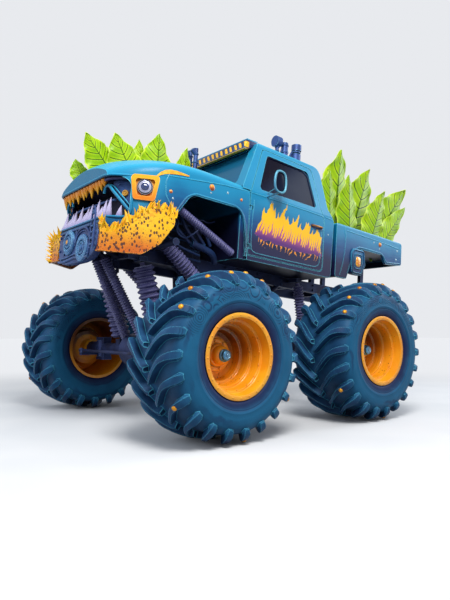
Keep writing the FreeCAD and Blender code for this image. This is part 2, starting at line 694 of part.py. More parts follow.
def knuckle(side):
    """Swivel boss with its kingpin, the wheel's spindle and the steering arm with its stud."""
    y = side * KINGPIN_Y
    arm_x = front_x + ARM_LENGTH
    pieces = [
        rod(V(front_x, y, AXLE_Z - YOKE_INNER + 5), V(front_x, y, AXLE_Z + YOKE_INNER - 5), BOSS_RADIUS),
        rod(V(front_x, y, AXLE_Z - YOKE_OUTER), V(front_x, y, AXLE_Z + YOKE_OUTER), KINGPIN_RADIUS),
        rod(V(front_x, y, AXLE_Z), V(front_x, side * SPINDLE_END, AXLE_Z), SPINDLE_RADIUS),
        rod(V(front_x, y, AXLE_Z), V(front_x, side * (HUB_INNER - 10), AXLE_Z), STUB_RADIUS),
        block(front_x, arm_x, y - ARM_WIDTH / 2, y + ARM_WIDTH / 2, ARM_BASE, ARM_TOP),
        rod(V(arm_x, y, ARM_BASE), V(arm_x, y, ARM_TOP), ARM_WIDTH / 2),
        rod(V(arm_x, y, ARM_BASE), V(arm_x, y, EYE_TOP + 8), STUD_RADIUS),
    ]
    return joined(pieces)


tie_x = front_x + ARM_LENGTH
tie_z = (EYE_BASE + EYE_TOP) / 2
tie = [rod(V(tie_x, -KINGPIN_Y, tie_z), V(tie_x, KINGPIN_Y, tie_z), TIE_RADIUS)]
stud_holes = []
for side in (-1, 1):
    y = side * KINGPIN_Y
    tie.append(rod(V(tie_x, y, EYE_BASE), V(tie_x, y, EYE_TOP), EYE_RADIUS))
    stud_holes.append(rod(V(tie_x, y, EYE_BASE - 10), V(tie_x, y, EYE_TOP + 10), STUD_RADIUS + CLEARANCE))
tie_rod = without(joined(tie), stud_holes)

# ---- springs, bellows struts, links and propeller shafts ------------------------------------------
SPRING_ROD = 30.0
SPRING_BARE = 65.0  # bare rod at each end of the sleeve
coilovers = []
for foot_x, y, head_x, head_z, radius in COILOVERS:
    foot = V(foot_x, y, SPRING_FOOT_Z - 20)
    head = V(head_x, y, head_z)
    along = (head - foot).normalize()
    sleeve = bellows(foot + along * SPRING_BARE, head - along * SPRING_BARE, radius)
    leg = without(joined([rod(foot, head, SPRING_ROD), sleeve]), [frame, cradle, axle_front, axle_rear])
    coilovers += both_sides(leg)

# bellows struts, left side.  Columns: head x, y, z, foot x, y, z, radius
STRUTS = [
    (1150.0, BODY_HALF_WIDTH - 90, 2445.0, 345.0, BODY_HALF_WIDTH - 90, 1985.0, 48.0),
    (1130.0, 590.0, 2090.0, 345.0, 590.0, 1385.0, 90.0),
]
struts = []
cab_now = raked(cab_shell)
clip_now = raked(front_clip)
for head_x, head_y, head_z, foot_x, foot_y, foot_z, radius in STRUTS:
    leg = bellows(V(head_x, head_y, head_z), V(foot_x, foot_y, foot_z), radius)
    struts += both_sides(biggest(without(leg, [frame, cradle, cab_now, clip_now])))

LINK_RADIUS = 34.0
links = []
for end in (-1, 1):
    link = rod(V(end * CRADLE_X, 330, CRADLE_Z), V(end * HALF_WHEELBASE, 740, AXLE_Z + 10), LINK_RADIUS)
    links += both_sides(biggest(without(link, [frame, cradle, axle_front, axle_rear])))

shafts = []
for end in (-1, 1):
    start = V(end * CASE_HALF, 0, CRADLE_Z - 10)
    finish = V(end * (HALF_WHEELBASE - NOSE_REACH), 0, AXLE_Z)
    shafts.append(rod(start, finish, SHAFT_RADIUS))
driveline = without(joined([case] + shafts), [frame, cradle, axle_front, axle_rear])

# ---- mouth: liner behind the opening, and the two rows of teeth it carries ------------------------
LINER = 14.0
LINER_BACK_X = 1500.0


def grown(corners, step):
    return shrunk(corners, -step)


liner_zone = clip_body(SKIN + CLEARANCE, SKIN + CLEARANCE)
mouth_liner = front_prism(grown(mouth_outline, LINER), LINER_BACK_X, NOSE_X).common(liner_zone)
mouth_liner = mouth_liner.cut(front_prism(mouth_outline, LINER_BACK_X + LINER, NOSE_X + 10))
mouth_liner = biggest(mouth_liner)


LIP_FLAT = 600.0  # half the straight run of the lips; beyond it they turn back
LIP_TURN = 0.9
GUM = 16.0
TOOTH_TIP = 1.5
TOOTH_STEP = 0.78  # every other tooth is this much shorter


def lip_x(y):
    """Where the lips run: across the flat nose, then back round the corners."""
    middle = NOSE_X - SKIN - 22
    return middle - max(0.0, abs(y) - LIP_FLAT) * LIP_TURN


def tooth_row(root_z, length, width, count, half_span, direction):
    """A gum strip along the lip with pointed teeth standing on it."""
    path = [-half_span - width, -LIP_FLAT, LIP_FLAT, half_span + width]
    base = root_z if direction > 0 else root_z - GUM
    strip = []
    for last, here in zip(path, path[1:]):
        outline = [
            (lip_x(last) - width / 2, last, 0),
            (lip_x(last) + width / 2, last, 0),
            (lip_x(here) + width / 2, here, 0),
            (lip_x(here) - width / 2, here, 0),
        ]
        strip.append(plan_prism(outline, base, base + GUM))
    for i in range(count):
        y = half_span * (2 * i / (count - 1) - 1)
        size = length * (1.0 if i % 2 == 0 else TOOTH_STEP)
        foot = V(lip_x(y), y, root_z + direction * GUM / 2)
        strip.append(Part.makeCone(width * 0.48, TOOTH_TIP, size, foot, V(0, 0, direction)))
    return joined(strip)


# columns: root z, tooth length, tooth width, number, half the span, direction
UPPER_ROW = (MOUTH_TOP_Z, 95.0, 42.0, 15, MOUTH_HALF_WIDTH - 110, -1)
LOWER_ROW = (MOUTH_BASE_Z, 190.0, 52.0, 13, MOUTH_HALF_WIDTH - 120, 1)
teeth_upper = tooth_row(*UPPER_ROW)
teeth_lower = tooth_row(*LOWER_ROW)
teeth_upper = without(teeth_upper, [mouth_liner, front_clip])
teeth_lower = without(teeth_lower, [mouth_liner, front_clip])
teeth_upper = biggest(teeth_upper)
teeth_lower = biggest(teeth_lower)

# ---- headlamps in the corners of the nose ----------------------------------------------------------
LAMP_X = 1590.0
LAMP_Y = BODY_HALF_WIDTH - 102.0
LAMP_Z = 2460.0
LAMP_TURN_DEG = 62.0  # from straight ahead toward the side
LAMP_OUT = 34.0
LAMP_DEEP = 60.0
lamp_bezel = [(-125.0, -140.0, 35.0), (105.0, -140.0, 35.0), (150.0, 140.0, 40.0), (-165.0, 130.0, 45.0)]
lamp_well = [(-85.0, -95.0, 25.0), (70.0, -95.0, 25.0), (100.0, 95.0, 28.0), (-115.0, 88.0, 30.0)]
LENS_RADIUS = 62.0
LENS_Y = -8.0
LENS_Z = 5.0
LENS_FRONT = 18.0


def at_lamp(shape):
    turned = shape.copy()
    turned.rotate(V(0, 0, 0), UP, LAMP_TURN_DEG)
    turned.translate(V(LAMP_X, LAMP_Y, LAMP_Z))
    return turned


lamp_pocket = at_lamp(front_prism(grown(lamp_bezel, CLEARANCE), -LAMP_DEEP - CLEARANCE, 200))
lamp = front_prism(lamp_bezel, -LAMP_DEEP, LAMP_OUT).cut(front_prism(lamp_well, 0, LAMP_OUT + 10))
lamp = lamp.fuse(rod(V(-20, LENS_Y, LENS_Z), V(LENS_FRONT, LENS_Y, LENS_Z), LENS_RADIUS)).removeSplitter()
headlamp = at_lamp(lamp)
front_clip = without(front_clip, both_sides(lamp_pocket))
mouth_liner = without(mouth_liner, both_sides(lamp_pocket))

# ---- snout: the winch-like unit under the mouth -----------------------------------------------------
SNOUT_HALF = 430.0
SNOUT_FRONT_X = NOSE_X + 75.0
CAP_RECESS = 15.0
CAP_RIM = 0.72  # bore of a cap's rim, as a share of its radius
snout_front = [
    (-SNOUT_HALF, 1810.0, 60.0),
    (-SNOUT_HALF + 90, 1700.0, 60.0),
    (SNOUT_HALF - 130, 1700.0, 60.0),
    (SNOUT_HALF - 40, 1810.0, 60.0),
    (SNOUT_HALF - 60, 2085.0, 60.0),
    (-SNOUT_HALF, 2085.0, 60.0),
]
# columns: y, z, radius, reach beyond the body of the unit
SNOUT_CAPS = [(-280.0, 1965.0, 105.0, 45.0), (60.0, 1835.0, 120.0, 40.0)]
snout = front_prism(snout_front, NOSE_X, SNOUT_FRONT_X)
for y, z, radius, reach in SNOUT_CAPS:
    snout = snout.fuse(rod(V(NOSE_X + 10, y, z), V(SNOUT_FRONT_X + reach, y, z), radius))
    cap_face = SNOUT_FRONT_X + reach
    snout = snout.cut(rod(V(cap_face - CAP_RECESS, y, z), V(cap_face + 5, y, z), radius * CAP_RIM))
clasp = block(NOSE_X + 5, SNOUT_FRONT_X + 30, 260, 330, 1760, 2200)
snout = snout.fuse(clasp).removeSplitter()

# ---- spiked chin guards, a layer laid over the jaw's corners ---------------------------------------
GUARD_THICK = 45.0
GUARD_GAP = 8.0  # to the snout
guard_outline = [
    (NOSE_X + 60, 1740.0, 0),
    (1600.0, 1735.0, 60.0),
    (1425.0, 1870.0, 70.0),
    (1285.0, 2090.0, 40.0),
    (1262.0, 2225.0, 0),
    (1300.0, 2290.0, 0),
    (1340.0, 2235.0, 0),
    (1405.0, 2325.0, 0),
    (1450.0, 2255.0, 0),
    (1530.0, 2320.0, 0),
    (1570.0, 2215.0, 0),
    (1640.0, 2250.0, 0),
    (1680.0, 2130.0, 0),
    (1760.0, 2150.0, 0),
    (1800.0, 2020.0, 0),
    (1850.0, 2060.0, 0),
    (1890.0, 1970.0, 0),
    (NOSE_X + 60, 2060.0, 0),
]
guard_layer = clip_body(-GUARD_THICK, -GUARD_THICK).cut(clip_body(-CLEARANCE, -CLEARANCE))
chin_guard = guard_layer.common(side_prism(guard_outline, SNOUT_HALF + GUARD_GAP, 1200.0))
chin_guard = biggest(chin_guard)

# ---- bonnet crest and bed crest: leaves standing on a pad ------------------------------------------
LEAF_THICK = 14.0
LEAF_BELLY = 0.42  # where a leaf is widest, along its length
# bonnet leaves.  Columns: foot x, y, z, tip x, y, z, width
FRONT_LEAVES = [
    (1800.0, -350.0, 2745.0, 1900.0, -380.0, 3010.0, 130.0),
    (1560.0, -60.0, 2880.0, 1940.0, -60.0, 3240.0, 200.0),
    (1340.0, 40.0, 2930.0, 1600.0, 0.0, 3330.0, 220.0),
    (1180.0, -60.0, 2930.0, 1230.0, -60.0, 3380.0, 150.0),
    (1000.0, 30.0, 2930.0, 980.0, 0.0, 3520.0, 240.0),
    (850.0, -80.0, 2930.0, 800.0, -110.0, 3300.0, 150.0),
    (560.0, -60.0, 2910.0, 500.0, -100.0, 3500.0, 150.0),
]
# bed leaves, left side; the right side mirrors them
REAR_LEAVES = [
    (-1560.0, 700.0, 2500.0, -1450.0, 740.0, 3560.0, 260.0),
    (-1700.0, 640.0, 2500.0, -1700.0, 740.0, 3930.0, 420.0),
    (-1960.0, 740.0, 2500.0, -1830.0, 790.0, 3560.0, 260.0),
    (-2120.0, 640.0, 2500.0, -2440.0, 760.0, 3840.0, 420.0),
    (-2400.0, 740.0, 2500.0, -2620.0, 800.0, 3500.0, 260.0),
    (-2560.0, 640.0, 2500.0, -3330.0, 760.0, 3720.0, 380.0),
    (-2640.0, 740.0, 2500.0, -3260.0, 790.0, 3420.0, 200.0),
    (-2000.0, 420.0, 2500.0, -2080.0, 470.0, 3750.0, 360.0),
    (-2500.0, 400.0, 2500.0, -2880.0, 450.0, 3600.0, 360.0),
]


def leaf(foot, tip, width):
    """Flat leaf blade: two arcs from foot to tip, a little twisted off the fore-and-aft plane."""
    along = tip - foot
    length = along.Length
    along = along.normalize()
    across = along.cross(LEFT).normalize()
    normal = across.cross(along).normalize()
    belly = foot + along * (length * LEAF_BELLY)
    half = across * (width / 2)
    start = foot - normal * (LEAF_THICK / 2)
    shift = normal * (-LEAF_THICK / 2)
    first = Part.Arc(start, belly + half + shift, tip + shift).toShape()
    second = Part.Arc(tip + shift, belly - half + shift, start).toShape()
    return Part.Face(Part.Wire([first, second])).extrude(normal * LEAF_THICK)


PAD_THICK = 14.0
pad_plan = [
    (420.0, -170.0, 80.0),
    (1640.0, -170.0, 60.0),
    (1700.0, -480.0, 60.0),
    (1850.0, -450.0, 60.0),
    (1840.0, -260.0, 40.0),
    (1700.0, 140.0, 100.0),
    (420.0, 140.0, 100.0),
]
lifted = clip_outer.copy()
lifted.translate(V(0, 0, PAD_THICK))
crest_pieces = [lifted.common(plan_prism(pad_plan, 2600, 3200)).cut(clip_outer)]
for row in FRONT_LEAVES:
    crest_pieces.append(leaf(V(*row[0:3]), V(*row[3:6]), row[6]).cut(clip_outer))
crest_front = biggest(joined(crest_pieces).cut(scoop))
TRAY_THICK = 70.0
TRAY_GAP = 40.0
tray_half = load_half - TRAY_GAP / 2
tray_top = BED_FLOOR_Z + TRAY_THICK
tray = block(load_rear_x + TRAY_GAP, load_front_x - TRAY_GAP, -tray_half, tray_half, BED_FLOOR_Z, tray_top)
crest_pieces = [tray]
for row in REAR_LEAVES:
    crest_pieces += both_sides(leaf(V(*row[0:3]), V(*row[3:6]), row[6]))
crest_rear = joined(crest_pieces)
crest_rear = crest_rear.common(block(-4000, BED_FRONT_X + 60, -2000, 2000, BED_FLOOR_Z, 5000)).cut(bed)
crest_rear = biggest(crest_rear)

# ---- roof and cowl furniture ------------------------------------------------------------------------
visor_side = [
    (-60.0, ROOF_Z, 0),
    (40.0, ROOF_Z, 10.0),
    (160.0, ROOF_Z - 60, 14.0),
    (150.0, ROOF_Z - 110, 14.0),
    (0.0, ROOF_Z - 60, 0),
    (-60.0, ROOF_Z - 60, 0),
]
visor_half = ROOF_HALF_WIDTH - 65
roof_visor = biggest(side_prism(visor_side, -visor_half, visor_half).cut(cab_outer))
HORN_Y = 600.0
HORN_ROOT_Z = ROOF_Z - 60
HORN_Z = ROOF_Z + 215.0


def upright(x, base, top, radius):
    return rod(V(x, HORN_Y, base), V(x, HORN_Y, top), radius)


trumpet = rod(V(-560, HORN_Y, HORN_Z), V(-470, HORN_Y, HORN_Z), 72.0)
horn_foot = block(-660, -520, HORN_Y - 20, HORN_Y + 20, HORN_ROOT_Z, ROOF_Z + 60)
horn_pair = [upright(-520, HORN_ROOT_Z, HORN_Z, 26.0), trumpet, horn_foot]
horn_pair.append(upright(-660, HORN_ROOT_Z, HORN_Z + 20, 48.0))
tall_horn = [
    upright(-880, HORN_ROOT_Z, ROOF_Z + 130, 72.0),
    upright(-880, ROOF_Z + 120, ROOF_Z + 190, 50.0),
    upright(-890, ROOF_Z + 185, ROOF_Z + 270, 70.0),
]
roof_horns = [biggest(joined(horn).cut(cab_outer)) for horn in (horn_pair, tall_horn)]
STACK_RADIUS = 30.0
STACK_X = 400.0
STACK_TOP_Z = 3500.0
stacks = []
for y in (-130.0, 0.0):
    pipe = rod(V(STACK_X, y, 2850), V(STACK_X, y, STACK_TOP_Z), STACK_RADIUS)
    spout = rod(V(STACK_X, y, STACK_TOP_Z - 90), V(STACK_X + 70, y, STACK_TOP_Z - 30), STACK_RADIUS)
    stacks.append(biggest(joined([pipe, spout]).cut(clip_outer).cut(crest_front)))
pod_outline = [
    (-1720.0, 2330.0, 40.0),
    (-1760.0, 2415.0, 40.0),
    (-2010.0, 2415.0, 70.0),
    (-2040.0, 2200.0, 60.0),
    (-1960.0, 2040.0, 50.0),
    (-1740.0, 2040.0, 50.0),
]
side_pod = biggest(side_prism(pod_outline, BODY_HALF_WIDTH - 60, BODY_HALF_WIDTH + 18).cut(bed))

# ---- cab furniture ----------------------------------------------------------------------------------
floor_z = SILL_Z + FLOOR_THICK
seat_side = [
    (-480.0, floor_z + 120, 0),
    (-480.0, floor_z + 330, 40.0),
    (-880.0, floor_z + 290, 30.0),
    (-1010.0, floor_z + 900, 50.0),
    (-1130.0, floor_z + 900, 50.0),
    (-1010.0, floor_z + 120, 30.0),
]
SEAT_INNER_Y = 140.0
SEAT_OUTER_Y = 640.0
SEAT_BASE_INSET = 60.0
base_inner = SEAT_INNER_Y + SEAT_BASE_INSET
base_outer = SEAT_OUTER_Y - SEAT_BASE_INSET
seat_base = block(-980, -520, base_inner, base_outer, floor_z, floor_z + 120)
seat = side_prism(seat_side, SEAT_INNER_Y, SEAT_OUTER_Y).fuse(seat_base).removeSplitter()
dash_front_x = COWL_X - 60
dash_side = [
    (dash_front_x, 2530.0, 0),
    (dash_front_x, 2740.0, 0),
    (90.0, 2750.0, 60.0),
    (40.0, 2640.0, 50.0),
    (120.0, 2520.0, 40.0),
]
dash_half = BODY_HALF_WIDTH - CAB_WALL - 10
dashboard = side_prism(dash_side, -dash_half, dash_half)
COLUMN_FOOT = V(120, 380, 2600)
WHEEL_CENTRE = V(-150, 380, 2720)
COLUMN_RADIUS = 32.0
STEERING_SHAFT = 14.0
column_axis = (WHEEL_CENTRE - COLUMN_FOOT).normalize()
column = rod(COLUMN_FOOT - column_axis * 40, WHEEL_CENTRE - column_axis * 60, COLUMN_RADIUS)
dashboard = dashboard.fuse(column).removeSplitter()
dashboard = dashboard.cut(rod(COLUMN_FOOT, WHEEL_CENTRE, STEERING_SHAFT + CLEARANCE))
HAND_WHEEL_RADIUS = 190.0
steering_wheel = joined(
    [
        Part.makeTorus(HAND_WHEEL_RADIUS, 15.0, WHEEL_CENTRE, column_axis),
        rod(WHEEL_CENTRE - column_axis * 45, WHEEL_CENTRE + column_axis * 15, 40.0),
        rod(WHEEL_CENTRE - column_axis * 160, WHEEL_CENTRE, STEERING_SHAFT),
        rod(WHEEL_CENTRE - LEFT * HAND_WHEEL_RADIUS, WHEEL_CENTRE + LEFT * HAND_WHEEL_RADIUS, 11.0),
    ]
)

# ---- mirrors: a loop on a stalk from the door --------------------------------------------------------
MIRROR_Y = BODY_HALF_WIDTH + 180.0
MIRROR_THICK = 14.0


def mirror_frame(inset, radius):
    return [
        (-60.0 - inset, 2780.0 + inset, radius),
        (-60.0 - inset, 2990.0 - inset, radius),
        (-170.0 + inset, 2990.0 - inset, radius),
        (-170.0 + inset, 2780.0 + inset, radius),
    ]


mirror = side_prism(mirror_frame(0.0, 30.0), MIRROR_Y - MIRROR_THICK, MIRROR_Y + MIRROR_THICK)
mirror = mirror.cut(side_prism(mirror_frame(14.0, 18.0), MIRROR_Y - MIRROR_THICK - 5, MIRROR_Y - 4))
stalk = rod(V(-60, BODY_HALF_WIDTH - 30, BELT_Z - 25), V(-70, MIRROR_Y, BELT_Z + 40), 10.0)
mirror = biggest(mirror.fuse(stalk).removeSplitter().cut(door_leaf))

# ---- wheels -----------------------------------------------------------------------------------------
HALF_RIM = RIM_WIDTH / 2
HALF_TYRE = TYRE_WIDTH / 2
BARREL = RIM_RADIUS - 18.0
# (distance out from the wheel's middle, radius): stepped dish, hub ring, cap, then the hidden back
RIM_PROFILE = [
    (HALF_RIM, RIM_RADIUS),
    (HALF_RIM, RIM_RADIUS - 46),
    (HALF_RIM - 20, RIM_RADIUS - 52),
    (HALF_RIM - 100, RIM_RADIUS - 62),
    (HALF_RIM - 100, RIM_RADIUS - 84),
    (HALF_RIM - 215, RIM_RADIUS - 98),
    (HALF_RIM - 215, RIM_RADIUS - 122),
    (HALF_RIM - 325, RIM_RADIUS - 136),
    (HALF_RIM - 325, RIM_RADIUS - 162),
    (-20.0, RIM_RADIUS - 176),
    (-20.0, 165.0),
    (30.0, 160.0),
    (30.0, 118.0),
    (60.0, 112.0),
    (105.0, 96.0),
    (140.0, 66.0),
    (150.0, 44.0),
    (190.0, 40.0),
    (205.0, 0.0),
    (50.0, 0.0),
    (50.0, SPINDLE_RADIUS + CLEARANCE),
    (-200.0, SPINDLE_RADIUS + CLEARANCE),
    (-200.0, 120.0),
    (-50.0, 120.0),
    (-50.0, RIM_RADIUS - 162),
    (61.0, RIM_RADIUS - 148),
    (61.0, RIM_RADIUS - 122),
    (171.0, RIM_RADIUS - 108),
    (171.0, RIM_RADIUS - 84),
    (285.0, RIM_RADIUS - 70),
    (285.0, BARREL - 16),
    (-HALF_RIM, BARREL - 16),
    (-HALF_RIM, RIM_RADIUS),
    (-HALF_RIM + 15, RIM_RADIUS),
    (-HALF_RIM + 15, BARREL),
    (HALF_RIM - 15, BARREL),
    (HALF_RIM - 15, RIM_RADIUS),
]
# tyres: a faceted carcass with two staggered rows of lugs, each lug slanted and then bent to the side
LUGS = 20  # in a row
LUG_DRAFT = 0.07  # how far a lug's top lies inside its foot, in pitches
PITCH_DEG = 360.0 / LUGS
# tread, from the middle out.  Columns: distance out, radius on a lug, between lugs, lean in pitches
TREAD_RINGS = [
    (22.0, TYRE_RADIUS, TYRE_RADIUS - 78, 0.0),
    (235.0, TYRE_RADIUS - 6, TYRE_RADIUS - 82, 0.85),
    (HALF_TYRE - 45, TYRE_RADIUS - 52, TYRE_RADIUS - 122, 1.1),
]
BEAD = HALF_RIM - 16
BORE = (BARREL + CLEARANCE) / math.cos(math.radians(PITCH_DEG / 4))
# side wall, from the tread in.  Columns: distance out, radius
WALL_RINGS = [(HALF_TYRE, TYRE_RADIUS - 230), (BEAD, RIM_RADIUS + 6), (BEAD, BORE)]


def tyre_point(side, out, radius, pitches):
    angle = math.radians(PITCH_DEG * pitches)
    return V(radius * math.cos(angle), side * out, radius * math.sin(angle))


def flat_face(corners):
    return Part.Face(Part.makePolygon(corners + corners[:1]))


def patch(first, second, third, fourth):
    """Four corners that may not lie in one plane, as two flat faces."""
    return [flat_face([first, second, third]), flat_face([first, third, fourth])]


def half_pitch(side, start, on_lug):
    """Faces of one lug, or of one groove, from the middle of the tread to the rim."""
    feet, tops, wall, faces = [], [], [], []
    for out, lug_radius, groove_radius, lean in TREAD_RINGS:
        begin, end = start + lean, start + lean + 0.5
        feet.append([tyre_point(side, out, groove_radius, turn) for turn in (begin, end)])
        edges = (begin + LUG_DRAFT, end - LUG_DRAFT)
        tops.append([tyre_point(side, out, lug_radius, turn) for turn in edges])
    for out, radius in WALL_RINGS:
        wall.append([tyre_point(side, out, radius, turn) for turn in (begin, end)])
    upper = tops if on_lug else feet
    strip = upper + wall
    for here, after in zip(strip, strip[1:]):
        faces += patch(here[0], here[1], after[1], after[0])
    if on_lug:
        faces += patch(feet[0][0], feet[0][1], tops[0][1], tops[0][0])
        for edge in (0, 1):
            for row in range(len(tops) - 1):
                faces += patch(feet[row][edge], tops[row][edge], tops[row + 1][edge], feet[row + 1][edge])
            faces.append(flat_face([feet[-1][edge], tops[-1][edge], wall[0][edge]]))
    return faces


def tyre():
    """One tyre about its own middle, outer side toward +Y."""
    faces = []
    rings = [
        (TREAD_RINGS[0][0], TREAD_RINGS[0][2], -LUG_DRAFT),
        (BEAD, BORE, TREAD_RINGS[-1][3] - LUG_DRAFT),
    ]
    for step in range(2 * LUGS):
        turn = step / 2
        faces += half_pitch(1, turn - LUG_DRAFT, step % 2 == 0)
        faces += half_pitch(-1, turn - LUG_DRAFT, step % 2 == 1)
        for out, radius, lean in rings:
            near = [tyre_point(1, out, radius, turn + lean + share) for share in (0.0, 0.5)]
            far = [tyre_point(-1, out, radius, turn + lean + share) for share in (0.0, 0.5)]
            faces += patch(near[0], near[1], far[1], far[0])
    shell = Part.makeShell(faces)
    shell.sewShape()
    solid = Part.makeSolid(shell)
    if solid.Volume < 0:
        solid.reverse()
    return solid


tyre_left = tyre()
tyre_right = tyre_left.mirror(V(0, 0, 0), LEFT)
WHEELS = {
    "front_left": (front_x, 1),
    "front_right": (front_x, -1),
    "rear_left": (rear_x, 1),
    "rear_right": (rear_x, -1),
}

# ---- write every piece ------------------------------------------------------------------------------
snout_tip = raked(snout).BoundBox.XMax
crest_tail = raked(crest_rear).BoundBox.XMin
MIDDLE_X = (snout_tip + crest_tail) / 2  # middle of the overall length, the origin of the finished truck
save("frame", frame)
save("cradle", cradle)
save("tow_points", [tongue, front_lug])
save("engine", engine)
save("driveline", driveline)
save("axle_front", axle_front)
save("axle_rear", axle_rear)
save("suspension_links", links)
save("coilovers", coilovers)
save("bellows_struts", struts)
save("front_clip", raked(front_clip))
save("mouth_liner", raked(mouth_liner))
save("teeth", [raked(teeth_upper), raked(teeth_lower)])
save("lamps", [raked(piece) for piece in both_sides(headlamp) + both_sides(side_pod)])
save("chin_guards", [raked(piece) for piece in both_sides(chin_guard)])
save("snout", raked(snout))
save("crest_front", raked(crest_front))
save("crest_rear", raked(crest_rear))
save("cab_shell", raked(cab_shell))
save("fixed_glass", [raked(windscreen), raked(rear_glass)])
save("roof_visor", raked(roof_visor))
save("roof_horns", [raked(horn) for horn in roof_horns])
save("intake_stacks", [raked(pipe) for pipe in stacks])
save("seats", [raked(piece) for piece in both_sides(seat)])
save("dashboard", raked(dashboard))
save("steering_wheel", raked(steering_wheel))
save("bed", raked(bed))
save("tailgate", raked(tailgate))
for name, shape in (("door", door_leaf), ("glass", door_glass), ("mirror", mirror)):
    left, right = both_sides(shape)
    save(name + "_left", raked(left))
    save(name + "_right", raked(right))
save("knuckle_left", knuckle(1))
save("knuckle_right", knuckle(-1))
save("tie_rod", tie_rod)
for name, (x, side) in WHEELS.items():
    casing = (tyre_left if side > 0 else tyre_right).copy()
    casing.translate(V(x, side * WHEEL_Y, AXLE_Z))
    save("tyre_" + name, casing)
    rim = turned_profile(RIM_PROFILE, side * WHEEL_Y, side)
    rim.translate(V(x, 0, AXLE_Z))
    save("rim_" + name, rim)
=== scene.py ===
"""Looks of the monster truck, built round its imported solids.

Metres, +X forward, +Y to the truck's left, +Z up.
"""

import json
import math
import random

import bpy
from mathutils import Matrix, Vector


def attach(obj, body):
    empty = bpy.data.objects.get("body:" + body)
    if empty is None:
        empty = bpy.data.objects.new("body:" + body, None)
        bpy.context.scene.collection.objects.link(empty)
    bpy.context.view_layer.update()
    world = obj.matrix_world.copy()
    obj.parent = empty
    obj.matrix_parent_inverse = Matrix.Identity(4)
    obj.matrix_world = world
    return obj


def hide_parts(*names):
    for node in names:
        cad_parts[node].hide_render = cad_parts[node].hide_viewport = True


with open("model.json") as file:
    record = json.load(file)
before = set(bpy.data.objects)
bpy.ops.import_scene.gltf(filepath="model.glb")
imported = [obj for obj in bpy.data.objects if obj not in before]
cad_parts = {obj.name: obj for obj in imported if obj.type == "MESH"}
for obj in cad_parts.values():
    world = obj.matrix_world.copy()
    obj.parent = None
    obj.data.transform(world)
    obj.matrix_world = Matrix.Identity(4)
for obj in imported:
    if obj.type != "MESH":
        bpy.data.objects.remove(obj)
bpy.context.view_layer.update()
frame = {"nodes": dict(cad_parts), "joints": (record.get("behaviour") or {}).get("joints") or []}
nodes = frame["nodes"]
pivots = {joint["name"]: Vector(joint["pos_m"]) for joint in frame["joints"]}

# ---- stage ---------------------------------------------------------------------------------------
# A plain pale sweep under soft studio light.  The camera stands low off the truck's left front corner,
# at the height of a wheel's top, and looks slightly up.
AXLE_MIDDLE = (pivots["spin_front_left"] + pivots["spin_rear_left"]) / 2
MIDDLE_X = AXLE_MIDDLE.x
CAMERA_PLACE = Vector((MIDDLE_X + 4.389, 5.802, 1.095))
CAMERA_YAW = math.radians(-128.5)
CAMERA_PITCH = math.radians(3.14)
CAMERA_LENS = 32.18


def srgb(red, green, blue):
    """Colour as a paint chart gives it, 0 to 255, turned to linear light."""
    shares = [part / 255 for part in (red, green, blue)]
    return tuple(s / 12.92 if s <= 0.04045 else ((s + 0.055) / 1.055) ** 2.4 for s in shares)


def new_object(name, data):
    thing = bpy.data.objects.new(name, data)
    bpy.context.scene.collection.objects.link(thing)
    return thing


camera_data = bpy.data.cameras.new("camera")
camera_data.lens = CAMERA_LENS
camera_data.sensor_width = 36.0
camera_data.clip_end = 200.0
camera = new_object("camera", camera_data)
camera.location = CAMERA_PLACE
sight = Vector(
    (
        math.cos(CAMERA_PITCH) * math.cos(CAMERA_YAW),
        math.cos(CAMERA_PITCH) * math.sin(CAMERA_YAW),
        math.sin(CAMERA_PITCH),
    )
)
camera.rotation_euler = sight.to_track_quat("-Z", "Y").to_euler()
bpy.context.scene.camera = camera
bpy.context.scene.view_settings.view_transform = "Standard"


class Value:
    """A number that varies over a surface.  Arithmetic on it adds the Math nodes that work it out."""

    def __init__(self, finish, socket):
        self.finish = finish
        self.socket = socket

    def math(self, operation, *others):
        return self.finish.math(operation, self, *others)

    def __add__(self, other):
        return self.math("ADD", other)

    __radd__ = __add__

    def __sub__(self, other):
        return self.math("SUBTRACT", other)

    def __rsub__(self, other):
        return self.finish.math("SUBTRACT", other, self)

    def __mul__(self, other):
        return self.math("MULTIPLY", other)

    __rmul__ = __mul__

    def __pow__(self, other):
        return self.math("POWER", other)

    def sine(self):
        return self.math("SINE")

    def size(self):
        return self.math("ABSOLUTE")

    def rise(self, low, high):
        """0 below low, 1 above high, and a smooth step between; the other way round if low is the greater."""
        turned = low > high
        span = (high, low) if turned else (low, high)
        node = self.finish.node(
            "ShaderNodeMapRange",
            {"interpolation_type": "SMOOTHSTEP"},
            {0: self, 1: span[0], 2: span[1], 3: float(turned), 4: float(not turned)},
        )
        return Value(self.finish, node.outputs[0])


